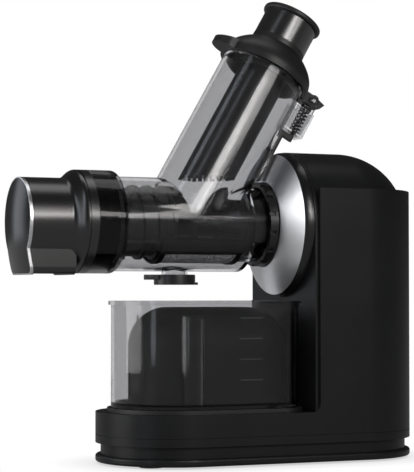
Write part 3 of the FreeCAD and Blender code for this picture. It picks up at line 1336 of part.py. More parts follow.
def rod_head_top():
    return HINGE_Z - KNUCKLE_RADIUS - 3 * LOOSE


def rod_crank_top():
    return POCKET_BOTTOM - SLIP - LOOSE


def rod_pieces(margin):
    """The safety rod's solids, or the passage for them when grown by a margin."""
    radius = ROD_RADIUS + margin
    stem_radius = SPRING_RADIUS - SPRING_WIRE - SLIP + margin
    crank_z = rod_crank_top() - 2 * ROD_RADIUS
    stem = Part.makeCylinder(min(stem_radius, radius), rod_head_top() - crank_z, V(HINGE_X, 0, crank_z))
    crank = box(ROD_X, HINGE_X, -radius, radius, crank_z, rod_crank_top())
    crank_end = Part.makeCylinder(radius, rod_crank_top() - crank_z, V(HINGE_X, 0, crank_z))
    long_rod = Part.makeCylinder(radius, ROD_LENGTH, V(ROD_X, 0, rod_crank_top() - ROD_LENGTH))
    return [stem, crank, crank_end, long_rod]


def rod_clearance():
    stem, _, _, long_rod = rod_pieces(LOOSE)
    return joined([stem, long_rod])


def safety_rod():
    seat = rod_head_top() - ROD_HEAD_HEIGHT
    head = Part.makeCylinder(ROD_HEAD_RADIUS, ROD_HEAD_HEIGHT, V(HINGE_X, 0, seat))
    return on_chute(joined(rod_pieces(0) + [head]))


def biarc(start, start_way, end, end_way):
    """Two tangent arcs from one point and direction to another."""
    chord = end - start
    both = start_way + end_way
    a = 2 * start_way.dot(end_way) - 2
    b = -2 * chord.dot(both)
    c = chord.dot(chord)
    reach = (-b - math.sqrt(b * b - 4 * a * c)) / (2 * a)
    first, second = start + start_way * reach, end - end_way * reach
    join = (first + second) * 0.5
    arcs = []
    for tail, bend, tip in ((start, first, join), (join, second, end)):
        half = (tip - tail).Length / 2
        cosine = half / reach
        centre = (tail + tip) * 0.5
        arcs.append(Part.Arc(tail, centre + (bend - centre) * (cosine / (1 + cosine)), tip).toShape())
    return arcs


def spring_point(turns, radius, pitch):
    angle = 2 * math.pi * turns
    return V(HINGE_X + radius * math.cos(angle), radius * math.sin(angle), spring_bottom() + pitch * turns)


def spring_way(turns, radius, pitch):
    angle = 2 * math.pi * turns
    return V(-radius * math.sin(angle), radius * math.cos(angle), pitch / (2 * math.pi)).normalize()


def spring_bottom():
    return POCKET_FLOOR + SPRING_WIRE / 2 + LOOSE


def lid_spring():
    radius = SPRING_RADIUS - SPRING_WIRE / 2
    top = rod_head_top() - ROD_HEAD_HEIGHT - SPRING_WIRE / 2 - LOOSE
    pitch = (top - spring_bottom()) / SPRING_TURNS
    start, end = spring_point(0, radius, pitch), spring_point(SPRING_TURNS, radius, pitch)
    first_way, last_way = spring_way(0, radius, pitch), spring_way(SPRING_TURNS, radius, pitch)
    edges = [Part.LineSegment(start - first_way * SPRING_WIRE, start).toShape()]
    for quarter in range(4 * SPRING_TURNS):
        t0, t1 = quarter / 4, (quarter + 1) / 4
        edges += biarc(spring_point(t0, radius, pitch), spring_way(t0, radius, pitch),
                       spring_point(t1, radius, pitch), spring_way(t1, radius, pitch))
    edges.append(Part.LineSegment(end, end + last_way * SPRING_WIRE).toShape())
    section = Part.Wire(Part.Circle(start - first_way * SPRING_WIRE, first_way, SPRING_WIRE / 2).toShape())
    sweep = Part.BRepOffsetAPI.MakePipeShell(Part.Wire(edges))
    sweep.add(section)
    sweep.build()
    sweep.makeSolid()
    per_turn = 48
    samples = [spring_point(k / per_turn, radius, pitch) for k in range(per_turn * SPRING_TURNS + 1)]
    gap = min((samples[i] - samples[j]).Length for i in range(len(samples))
              for j in range(i + 3 * per_turn // 4, len(samples)))
    print("lid_spring least gap to itself", round(gap - SPRING_WIRE, 2))
    return on_chute(sweep.shape())


# Pusher

def pusher_body():
    head_top = LID_TOP + PUSHER_HEAD_HEIGHT
    outer = turned_z([(0, 0), (PUSHER_RADIUS, 0), (PUSHER_RADIUS, LID_TOP), (PUSHER_HEAD_RADIUS, LID_TOP),
                      (PUSHER_HEAD_RADIUS, head_top), (0, head_top)])
    cut_height = AXIS_HEIGHT + PUSHER_END_RISE
    bore = chute_rod(PUSHER_RADIUS - PUSHER_WALL, 0, head_top)
    level = box(-NOSE_REACH, NOSE_REACH, -BASE_WIDTH, BASE_WIDTH, 0, cut_height)
    level_floor = box(-NOSE_REACH, NOSE_REACH, -BASE_WIDTH, BASE_WIDTH, 0, cut_height + 2 * PUSHER_WALL)
    body = on_chute(outer).cut(bore.cut(level_floor)).cut(level)
    middle = CHUTE_X + PUSHER_END_RISE * math.tan(math.radians(CHUTE_TILT))
    notches = []
    for k in range(PUSHER_TEETH):
        x = middle + (k - (PUSHER_TEETH - 1) / 2) * PUSHER_TOOTH_PITCH
        notches.append(box(x - PUSHER_TOOTH_GAP / 2, x + PUSHER_TOOTH_GAP / 2, -BASE_WIDTH, BASE_WIDTH,
                           cut_height, cut_height + PUSHER_TOOTH_DEPTH))
    teeth_level = box(-NOSE_REACH, NOSE_REACH, -BASE_WIDTH, BASE_WIDTH, 0, cut_height + PUSHER_TOOTH_DEPTH)
    recess = chute_rod(PUSHER_RADIUS - PUSHER_WALL, 0, head_top).common(teeth_level)
    return body.cut(Part.makeCompound(notches)).cut(recess)


def pusher_cap():
    z0 = LID_TOP + PUSHER_HEAD_HEIGHT
    cap = Part.makeCylinder(PUSHER_CAP_RADIUS, PUSHER_CAP_HEIGHT, V(0, 0, z0))
    edge = min(PUSHER_CAP_EDGE, 0.45 * PUSHER_CAP_HEIGHT)
    cap = cap.makeFillet(edge, [e for e in cap.Edges if abs(e.BoundBox.ZLength) < NEAR])
    spigot = Part.makeCylinder(PUSHER_RADIUS - PUSHER_WALL - RUNNING, PUSHER_CAP_HEIGHT,
                               V(0, 0, z0 - PUSHER_CAP_HEIGHT / 2))
    return on_chute(joined([cap, spigot]))


# Jug and the pulp container stowed in it

def jug():
    top = JUG_BOTTOM + JUG_HEIGHT
    grips = []
    grip_bores = []
    for side in (-1, 1):
        y = side * (JUG_RADIUS + GRIP_DEPTH - GRIP_RADIUS)
        x = BASE_X - GRIP_CENTRE
        low = JUG_BOTTOM + GRIP_FOOT
        post = rod_z(GRIP_RADIUS, x, y, low, low + GRIP_HEIGHT)
        grips.append(post)
        grip_bores.append(rod_z(GRIP_RADIUS - JUG_WALL, x, y, low + JUG_WALL, low + GRIP_HEIGHT - JUG_WALL))
    walls = joined([jug_outline(0, JUG_BOTTOM, top), jug_outline(JUG_RIM_PROUD, top - JUG_RIM_HEIGHT, top)]
                   + grips)
    return walls.cut(joined([jug_outline(-JUG_WALL, JUG_BOTTOM + JUG_WALL, top)] + grip_bores))


def pulp_front():
    return BASE_X + JUG_END_OFFSET - JUG_WALL - 2 * SLIP - PULP_LENGTH


def pulp_form(inset, x0):
    z0 = JUG_BOTTOM + JUG_WALL + LOOSE
    half = PULP_WIDTH / 2 - inset
    block = box(x0 + inset, x0 + PULP_LENGTH - inset, -half, half, z0, z0 + PULP_HEIGHT - inset)
    block = rounded(block, PULP_SIDE_RADIUS - inset, lambda e: e.BoundBox.ZLength > PULP_HEIGHT / 2)
    block = rounded(block, PULP_TOP_RADIUS - inset, lambda e: flat_at(e, z0 + PULP_HEIGHT - inset))
    return block.common(jug_outline(-JUG_WALL - SLIP - inset, z0, z0 + PULP_HEIGHT))


def pulp_container():
    x0 = pulp_front()
    z0 = JUG_BOTTOM + JUG_WALL + LOOSE
    shell = pulp_form(0, x0).cut(pulp_form(PULP_WALL, x0))
    half = PULP_PANEL_HALF_WIDTH
    spring = z0 + PULP_HEIGHT - PULP_PANEL_DROP - half
    panel = joined([box(x0, x0 + PULP_PANEL_DEPTH, -half, half, z0 + PULP_PANEL_FOOT, spring),
                    rod_x(half, x0, x0 + PULP_PANEL_DEPTH, spring)])
    return shell.cut(panel)


PIECES = [foot_plate, rubber_feet, base_screws, outer_shell, jug_tray, motor_housing, housing_screws,
          front_panel, front_bezel, trim_ring, drum_socket, shaft_seal, interlock_switch,
          gearbox_case, gearbox_cover, gearbox_screws, drive_bearings, counter_bushes,
          stator, stator_windings, motor_front_bracket, motor_rear_bracket, motor_bearings, motor_bolts,
          motor_shaft, rotor_core, motor_pinion, cooling_fan, counter_gear, counter_pinion, counter_shaft,
          drive_gear, drive_shaft, control_board, run_capacitor, switch_bezel, rocker, cord_gland,
          juicing_drum, lock_ring, auger_seal, collar_seal, filter_frame, filter_mesh, auger,
          front_cap, cap_trim, cap_face, auger_bush, drip_stop, drip_seal, feed_lid, lid_hinge_pin,
          lid_spring, safety_rod, pusher_body, pusher_cap, jug, pulp_container]

os.makedirs("parts", exist_ok=True)
for piece in PIECES:
    export(piece.__name__, piece())
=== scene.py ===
import json
import math
import bpy
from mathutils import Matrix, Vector


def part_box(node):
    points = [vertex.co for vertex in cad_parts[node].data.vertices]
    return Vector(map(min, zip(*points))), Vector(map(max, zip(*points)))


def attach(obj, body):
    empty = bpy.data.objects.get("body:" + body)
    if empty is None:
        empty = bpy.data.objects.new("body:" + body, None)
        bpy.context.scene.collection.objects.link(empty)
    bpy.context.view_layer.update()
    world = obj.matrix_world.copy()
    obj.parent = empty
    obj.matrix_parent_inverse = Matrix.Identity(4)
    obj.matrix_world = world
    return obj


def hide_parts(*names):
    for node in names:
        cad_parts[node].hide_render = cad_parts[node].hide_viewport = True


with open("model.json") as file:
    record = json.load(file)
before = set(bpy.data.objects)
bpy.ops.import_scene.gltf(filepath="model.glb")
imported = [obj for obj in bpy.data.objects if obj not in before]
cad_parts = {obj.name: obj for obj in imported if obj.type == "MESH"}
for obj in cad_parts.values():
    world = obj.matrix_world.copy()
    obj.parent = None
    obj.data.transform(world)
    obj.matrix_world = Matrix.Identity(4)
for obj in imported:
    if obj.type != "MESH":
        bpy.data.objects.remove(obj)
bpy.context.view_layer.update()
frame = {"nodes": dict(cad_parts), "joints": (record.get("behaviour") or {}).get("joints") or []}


# Base and motor housing: injection-moulded shells in satin black plastic, with a fine spark-eroded skin.
# The foot plate is screwed up into the outer shell, and the housing is screwed down onto the shell's deck.

weld_distance = 0.000004


def soft_edge_tree():
    """Joins a node's loose triangles and shades it smooth, but keeps its real corners crisp."""
    tree = bpy.data.node_groups.new("moulded_edges", "GeometryNodeTree")
    tree.interface.new_socket("Geometry", in_out="INPUT", socket_type="NodeSocketGeometry")
    corner = tree.interface.new_socket("Corner Angle", in_out="INPUT", socket_type="NodeSocketFloat")
    corner.default_value = math.radians(32)
    tree.interface.new_socket("Geometry", in_out="OUTPUT", socket_type="NodeSocketGeometry")
    start, end = tree.nodes.new("NodeGroupInput"), tree.nodes.new("NodeGroupOutput")
    merge = tree.nodes.new("GeometryNodeMergeByDistance")
    merge.inputs["Distance"].default_value = weld_distance
    faces = tree.nodes.new("GeometryNodeSetShadeSmooth")
    edges = tree.nodes.new("GeometryNodeSetShadeSmooth")
    edges.domain = "EDGE"
    edges.inputs["Shade Smooth"].default_value = False
    angle = tree.nodes.new("GeometryNodeInputMeshEdgeAngle")
    sharp = tree.nodes.new("FunctionNodeCompare")
    sharp.operation = "GREATER_THAN"
    tree.links.new(start.outputs["Geometry"], merge.inputs["Geometry"])
    tree.links.new(merge.outputs["Geometry"], faces.inputs["Geometry"])
    tree.links.new(faces.outputs["Geometry"], edges.inputs["Geometry"])
    tree.links.new(angle.outputs["Unsigned Angle"], sharp.inputs["A"])
    tree.links.new(start.outputs["Corner Angle"], sharp.inputs["B"])
    tree.links.new(sharp.outputs["Result"], edges.inputs["Selection"])
    tree.links.new(edges.outputs["Geometry"], end.inputs["Geometry"])
    return tree


soft_edges = soft_edge_tree()


def dress(material, *nodes, edge=0.0):
    """Gives CAD nodes their finish, with the small edge radius of a moulded or turned piece."""
    for name in nodes:
        piece = frame["nodes"][name]
        piece.data.materials.clear()
        piece.data.materials.append(material)
        if edge:
            weld = piece.modifiers.new("joined", "WELD")
            weld.merge_threshold = weld_distance
            bevel = piece.modifiers.new("edge_radius", "BEVEL")
            bevel.width = edge
            bevel.segments = 2
            bevel.limit_method = "ANGLE"
            bevel.angle_limit = math.radians(35)
        piece.modifiers.new("smooth", "NODES").node_group = soft_edges
        piece.modifiers.new("even_normals", "WEIGHTED_NORMAL").keep_sharp = True


def shader_group(name, inputs, outputs):
    """An empty shader group with its sockets, and its input and output nodes."""
    group = bpy.data.node_groups.new(name, "ShaderNodeTree")
    for label, kind, value in inputs:
        socket = group.interface.new_socket(label, in_out="INPUT", socket_type="NodeSocket" + kind)
        socket.default_value = value
    for label, kind in outputs:
        group.interface.new_socket(label, in_out="OUTPUT", socket_type="NodeSocket" + kind)
    return group, group.nodes.new("NodeGroupInput"), group.nodes.new("NodeGroupOutput")


def math_node(tree, operation):
    node = tree.nodes.new("ShaderNodeMath")
    node.operation = operation
    return node


def relief_node(tree, strength=1.0, height=0.0001):
    """A bump that raises or sinks the surface by a pattern's value, as if by this height."""
    bump = tree.nodes.new("ShaderNodeBump")
    bump.inputs["Strength"].default_value = strength
    bump.inputs["Distance"].default_value = height
    return bump


def moulded_skin_group():
    """Fine grain, slow changes of gloss and a little change of tone, as on a moulded surface."""
    group, start, end = shader_group(
        "moulded_skin",
        [("Dark", "Color", (0, 0, 0, 1)), ("Light", "Color", (0, 0, 0, 1)), ("Gloss", "Float", 0.4),
         ("Gloss Spread", "Float", 0.05), ("Grain Scale", "Float", 2500.0), ("Grain Depth", "Float", 0.1)],
        [("Color", "Color"), ("Roughness", "Float"), ("Normal", "Vector")])
    place = group.nodes.new("ShaderNodeTexCoord")
    cloud = group.nodes.new("ShaderNodeTexNoise")
    cloud.inputs["Scale"].default_value = 22.0
    cloud.inputs["Detail"].default_value = 3.0
    grain = group.nodes.new("ShaderNodeTexNoise")
    grain.inputs["Detail"].default_value = 2.0
    mean_cloud = 0.5
    centred = math_node(group, "SUBTRACT")
    centred.inputs[1].default_value = mean_cloud
    gloss = math_node(group, "MULTIPLY_ADD")
    tone = group.nodes.new("ShaderNodeMix")
    tone.data_type = "RGBA"
    bump = relief_node(group)
    link = group.links.new
    link(place.outputs["Object"], cloud.inputs["Vector"])
    link(place.outputs["Object"], grain.inputs["Vector"])
    link(start.outputs["Grain Scale"], grain.inputs["Scale"])
    link(cloud.outputs["Fac"], centred.inputs[0])
    link(centred.outputs[0], gloss.inputs[0])
    link(start.outputs["Gloss Spread"], gloss.inputs[1])
    link(start.outputs["Gloss"], gloss.inputs[2])
    link(cloud.outputs["Fac"], tone.inputs["Factor"])
    link(start.outputs["Dark"], tone.inputs["A"])
    link(start.outputs["Light"], tone.inputs["B"])
    link(start.outputs["Grain Depth"], bump.inputs["Strength"])
    link(grain.outputs["Fac"], bump.inputs["Height"])
    link(tone.outputs["Result"], end.inputs["Color"])
    link(gloss.outputs[0], end.inputs["Roughness"])
    link(bump.outputs["Normal"], end.inputs["Normal"])
    return group


moulded_skin = moulded_skin_group()


def blank_material(name):
    material = bpy.data.materials.new(name)
    material.use_nodes = True
    return material, material.node_tree, material.node_tree.nodes["Principled BSDF"]


def moulded_plastic(name, colour, gloss, spread=0.08, grain=0.12, grain_scale=2500.0, tone=0.25,
                    mirror=0.5):
    """A plastic with a moulded skin. Gloss is its mean roughness, and spread is how far that wanders.
    Tone is how far its colour wanders, and mirror is its specular level."""
    material, tree, shader = blank_material(name)
    skin = tree.nodes.new("ShaderNodeGroup")
    skin.node_tree = moulded_skin
    skin.inputs["Dark"].default_value = (*[c * (1 - tone) for c in colour], 1)
    skin.inputs["Light"].default_value = (*[c * (1 + tone) for c in colour], 1)
    skin.inputs["Gloss"].default_value = gloss
    skin.inputs["Gloss Spread"].default_value = spread
    skin.inputs["Grain Scale"].default_value = grain_scale
    skin.inputs["Grain Depth"].default_value = grain
    tree.links.new(skin.outputs["Color"], shader.inputs["Base Color"])
    tree.links.new(skin.outputs["Roughness"], shader.inputs["Roughness"])
    tree.links.new(skin.outputs["Normal"], shader.inputs["Normal"])
    shader.inputs["Specular IOR Level"].default_value = mirror
    return material


deep_black = (0.006, 0.006, 0.0065)
satin_black = moulded_plastic("satin_black_shell", (0.007, 0.0073, 0.0079), 0.37, mirror=0.22)
bezel_black = moulded_plastic("gloss_black_bezel", deep_black, 0.26, grain=0.05)
tray_black = moulded_plastic("tray_black", deep_black, 0.5, grain=0.2)
dress(satin_black, "motor_housing", "front_panel", edge=0.0005)
dress(satin_black, "foot_plate", "outer_shell", edge=0.0014)
dress(bezel_black, "front_bezel", edge=0.0006)
dress(tray_black, "jug_tray", edge=0.0006)


# Feet and screws: soft rubber pads pressed into shallow seats, and zinc-plated pan-head screws.
# They hold the base together from below, so they show only when the juicer is tipped over.

def tint_node(tree, dark, light):
    """Mixes two colours by its Factor."""
    tint = tree.nodes.new("ShaderNodeMix")
    tint.data_type = "RGBA"
    tint.inputs["A"].default_value = (*dark, 1)
    tint.inputs["B"].default_value = (*light, 1)
    return tint


def drawn_metal(name, colour, gloss, grain_scale=(900.0, 900.0, 60.0), scratch=0.05):
    """A metal whose fine scratches run along the axis on which the grain's scale is least. Gloss is its
    roughness, and scratch is how deep they look."""
    least_gloss, most_gloss, scratch_shade = 0.75 * gloss, 1.3 * gloss, 0.85
    material, tree, shader = blank_material(name)
    place = tree.nodes.new("ShaderNodeTexCoord")
    stretch = tree.nodes.new("ShaderNodeMapping")
    stretch.inputs["Scale"].default_value = grain_scale
    grain = tree.nodes.new("ShaderNodeTexNoise")
    grain.inputs["Scale"].default_value = 1.0
    grain.inputs["Detail"].default_value = 4.0
    shine = tree.nodes.new("ShaderNodeMapRange")
    shine.inputs["To Min"].default_value = least_gloss
    shine.inputs["To Max"].default_value = most_gloss
    tint = tint_node(tree, [scratch_shade * c for c in colour], colour)
    bump = relief_node(tree, scratch)
    link = tree.links.new
    link(place.outputs["Object"], stretch.inputs["Vector"])
    link(stretch.outputs["Vector"], grain.inputs["Vector"])
    link(grain.outputs["Fac"], shine.inputs["Value"])
    link(grain.outputs["Fac"], tint.inputs["Factor"])
    link(grain.outputs["Fac"], bump.inputs["Height"])
    link(tint.outputs["Result"], shader.inputs["Base Color"])
    link(shine.outputs["Result"], shader.inputs["Roughness"])
    link(bump.outputs["Normal"], shader.inputs["Normal"])
    shader.inputs["Metallic"].default_value = 1.0
    return material


seal_rubber = moulded_plastic("seal_rubber", (0.02, 0.02, 0.021), 0.72, grain=0.3, grain_scale=1600.0)
plated_steel = drawn_metal("plated_steel", (0.58, 0.58, 0.6), 0.3)
dress(seal_rubber, "rubber_feet", edge=0.0004)
dress(plated_steel, "base_screws", "housing_screws")


# Trim ring: a spun aluminium cone round the drum socket, satin with the fine rings of its turning.
# It is pressed into the bezel and frames the dark socket that takes the drum's neck.

def turned_aluminium():
    material, tree, shader = blank_material("turned_aluminium")
    ring_low, ring_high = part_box("trim_ring")
    place = tree.nodes.new("ShaderNodeTexCoord")
    centre = tree.nodes.new("ShaderNodeMapping")
    centre.inputs["Location"].default_value = (0, 0, -(ring_low.z + ring_high.z) / 2)
    centre.inputs["Scale"].default_value = (0, 1, 1)
    radius = tree.nodes.new("ShaderNodeVectorMath")
    radius.operation = "LENGTH"
    rings = tree.nodes.new("ShaderNodeTexNoise")
    rings.noise_dimensions = "1D"
    rings.inputs["Scale"].default_value = 4000.0
    rings.inputs["Detail"].default_value = 3.0
    shine = tree.nodes.new("ShaderNodeMapRange")
    shine.inputs["To Min"].default_value = 0.3
    shine.inputs["To Max"].default_value = 0.42
    tint = tint_node(tree, (0.74, 0.745, 0.77), (0.84, 0.845, 0.86))
    bump = relief_node(tree, 0.06)
    link = tree.links.new
    link(place.outputs["Object"], centre.inputs["Vector"])
    link(centre.outputs["Vector"], radius.inputs[0])
    link(radius.outputs["Value"], rings.inputs["W"])
    link(rings.outputs["Fac"], shine.inputs["Value"])
    link(rings.outputs["Fac"], tint.inputs["Factor"])
    link(rings.outputs["Fac"], bump.inputs["Height"])
    link(tint.outputs["Result"], shader.inputs["Base Color"])
    link(shine.outputs["Result"], shader.inputs["Roughness"])
    link(bump.outputs["Normal"], shader.inputs["Normal"])
    shader.inputs["Metallic"].default_value = 1.0
    return material


dress(turned_aluminium(), "trim_ring", edge=0.0004)
socket_black = moulded_plastic("socket_black", deep_black, 0.34, grain=0.1)
dress(socket_black, "drum_socket", "lock_ring", edge=0.0003)


# Motor: laminated stator and rotor, enamelled copper windings, die-cast brackets, steel shaft and bolts.
# It hangs behind the gearbox, with its cooling fan at the back, and none of it shows from outside.

def banded(name, dark, light, bands, gloss, along="X"):
    """Metal in fine bands along one axis: a stack of sheet laminations, or wire laid side by side."""
    material, tree, shader = blank_material(name)
    place = tree.nodes.new("ShaderNodeTexCoord")
    wave = tree.nodes.new("ShaderNodeTexWave")
    wave.bands_direction = along
    wave.inputs["Scale"].default_value = bands
    wave.inputs["Distortion"].default_value = 0.6
    wave.inputs["Detail"].default_value = 2.0
    tint = tint_node(tree, dark, light)
    bump = relief_node(tree, 0.3, 0.0003)
    link = tree.links.new
    link(place.outputs["Object"], wave.inputs["Vector"])
    link(wave.outputs["Fac"], tint.inputs["Factor"])
    link(wave.outputs["Fac"], bump.inputs["Height"])
    link(tint.outputs["Result"], shader.inputs["Base Color"])
    link(bump.outputs["Normal"], shader.inputs["Normal"])
    shader.inputs["Metallic"].default_value = 1.0
    shader.inputs["Roughness"].default_value = gloss
    return material


def set_levels(material, levels):
    """Sets plain numbers on a material's own shader."""
    for label, level in levels.items():
        material.node_tree.nodes["Principled BSDF"].inputs[label].default_value = level


laminations = banded("sheet_laminations", (0.2, 0.2, 0.21), (0.36, 0.36, 0.38), bands=300.0, gloss=0.42)
windings = banded("copper_windings", (0.42, 0.15, 0.06), (0.78, 0.36, 0.18), bands=250.0, gloss=0.3,
                  along="DIAGONAL")
cast_alloy = moulded_plastic("cast_alloy", (0.5, 0.51, 0.53), 0.5, grain=0.4, grain_scale=900.0, tone=0.1)
set_levels(cast_alloy, {"Metallic": 1.0})
dress(laminations, "stator", "rotor_core")
dress(windings, "stator_windings")
dress(cast_alloy, "motor_front_bracket", "motor_rear_bracket")
ground_steel = drawn_metal("ground_steel", (0.56, 0.57, 0.59), 0.2, (40.0, 1200.0, 1200.0))
dress(ground_steel, "motor_shaft", "counter_shaft", "drive_shaft", "motor_bolts", "gearbox_screws",
      "motor_bearings", "drive_bearings", "lid_hinge_pin")


# Gear train: nylon wheels on steel pinions in a grey glass-filled case, greased and closed by a cover.
# They slow the motor to the auger's pace, and sit in the housing behind the front panel.

nylon = moulded_plastic("gear_nylon", (0.78, 0.76, 0.68), 0.46, grain=0.1, tone=0.06)
set_levels(nylon, {"Subsurface Weight": 0.1})
dress(nylon, "counter_gear", "drive_gear", "cooling_fan", "counter_bushes", "auger_bush")
pinion_steel = drawn_metal("cut_pinion", (0.5, 0.5, 0.52), 0.28, (30.0, 900.0, 900.0))
dress(pinion_steel, "motor_pinion", "counter_pinion")
filled_grey = moulded_plastic("glass_filled_grey", (0.11, 0.115, 0.12), 0.55, grain=0.35,
                              grain_scale=1500.0)
dress(filled_grey, "gearbox_case", "gearbox_cover", "interlock_switch")
dress(seal_rubber, "shaft_seal", "auger_seal", "collar_seal", "drip_seal")


# Electrical pieces: a green board with its copper tracks, a film capacitor, the switch and the cord inlet.
# The board stands on posts in the base, and the rocker sits in a window at the back of the band.

def circuit_board():
    material, tree, shader = blank_material("circuit_board")
    place = tree.nodes.new("ShaderNodeTexCoord")
    tracks = tree.nodes.new("ShaderNodeTexBrick")
    tracks.inputs["Scale"].default_value = 160.0
    tracks.inputs["Mortar Size"].default_value = 0.06
    tracks.inputs["Color1"].default_value = (0.02, 0.14, 0.05, 1)
    tracks.inputs["Color2"].default_value = (0.025, 0.16, 0.06, 1)
    tracks.inputs["Mortar"].default_value = (0.1, 0.3, 0.1, 1)
    bump = relief_node(tree, 0.3)
    tree.links.new(place.outputs["Object"], tracks.inputs["Vector"])
    tree.links.new(tracks.outputs["Color"], shader.inputs["Base Color"])
    tree.links.new(tracks.outputs["Fac"], bump.inputs["Height"])
    tree.links.new(bump.outputs["Normal"], shader.inputs["Normal"])
    shader.inputs["Roughness"].default_value = 0.35
    return material


dress(circuit_board(), "control_board")
dress(moulded_plastic("capacitor_case", (0.42, 0.41, 0.38), 0.4, tone=0.06), "run_capacitor", edge=0.0008)
switch_black = moulded_plastic("switch_black", (0.01, 0.01, 0.0105), 0.3, grain=0.06)
dress(switch_black, "switch_bezel", "rocker", "cord_gland", edge=0.0004)


# Auger: one dark moulding with a coarse feeding flight at the back and a fine squeezing thread in front.
# Its hexagon bore slips over the drive shaft, and its tip turns in a bush in the front cap.

auger_black = moulded_plastic("auger_black", (0.005, 0.005, 0.0053), 0.27, grain=0.1, mirror=0.55)
dress(auger_black, "auger", edge=0.0005)


# Filter: a slotted sheet under the auger in a black frame. Its stippled, bead-blasted sheet is what shows
# as a pale speckled patch through the trough's clear wall.

def blasted_sheet():
    material, tree, shader = blank_material("blasted_sheet")
    place = tree.nodes.new("ShaderNodeTexCoord")
    dots = tree.nodes.new("ShaderNodeTexVoronoi")
    dots.inputs["Scale"].default_value = 900.0
    ramp = tree.nodes.new("ShaderNodeValToRGB")
    ramp.color_ramp.elements[0].position = 0.25
    ramp.color_ramp.elements[0].color = (0.04, 0.04, 0.042, 1)
    ramp.color_ramp.elements[1].position = 0.6
    ramp.color_ramp.elements[1].color = (0.8, 0.8, 0.81, 1)
    bump = relief_node(tree, 0.6, 0.0003)
    tree.links.new(place.outputs["Object"], dots.inputs["Vector"])
    tree.links.new(dots.outputs["Distance"], ramp.inputs["Fac"])
    tree.links.new(dots.outputs["Distance"], bump.inputs["Height"])
    tree.links.new(ramp.outputs["Color"], shader.inputs["Base Color"])
    tree.links.new(bump.outputs["Normal"], shader.inputs["Normal"])
    shader.inputs["Metallic"].default_value = 0.2
    shader.inputs["Roughness"].default_value = 0.5
    return material


dress(blasted_sheet(), "filter_mesh")


def filter_frame():
    """A half-round trough with tall rails each side of the sheet's window and a hoop at each end. The
    rails are drawn tall so that their black stands partly for the frame's real edge and partly as painted
    shade under the auger's core.
    """
    wall, hoop = 0.002, 0.004
    # the rails' top angle is set high so the black sheet also fills, as painted shade, the shaded gap
    # below the auger
    window, rail_and_shade_top, step = 40, 67, 1.5  # degrees round the drum's axis, from the bottom
    low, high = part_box("filter_frame")
    axis_height = sum(corner.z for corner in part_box("lock_ring")) / 2
    radius = axis_height - low.z
    stations = [low.x, low.x + hoop, high.x - hoop, high.x]
    angles = [-rail_and_shade_top + step * k for k in range(int(2 * rail_and_shade_top / step) + 1)]
    points = [(x, radius * math.sin(math.radians(a)), axis_height - radius * math.cos(math.radians(a)))
              for x in stations for a in angles]
    row = len(angles)
    faces = []
    for i in range(len(stations) - 1):
        for k in range(row - 1):
            middle = (angles[k] + angles[k + 1]) / 2
            if i != 1 or abs(middle) > window:
                faces.append((i * row + k, i * row + k + 1, (i + 1) * row + k + 1, (i + 1) * row + k))
    mesh = bpy.data.meshes.new("filter_trough")
    mesh.from_pydata(points, [], faces)
    mesh.shade_smooth()
    trough = bpy.data.objects.new("filter_trough", mesh)
    thick = trough.modifiers.new("wall", "SOLIDIFY")
    thick.thickness = wall
    thick.offset = -1
    trough.modifiers.new("smooth", "NODES").node_group = soft_edges
    return trough


trough = filter_frame()
bpy.context.scene.collection.objects.link(trough)
frame_black = moulded_plastic("filter_frame_black", (0.005, 0.005, 0.0052), 0.4, mirror=0.3)
trough.data.materials.append(frame_black)
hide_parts("filter_frame")
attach(trough, "juicing_unit")


# Juicing drum: one clear smoke-tinted moulding of barrel, trough, neck, chute and spring pocket.
# Juice drops through its spout, and the chute rises from it at thirty degrees to the upright.

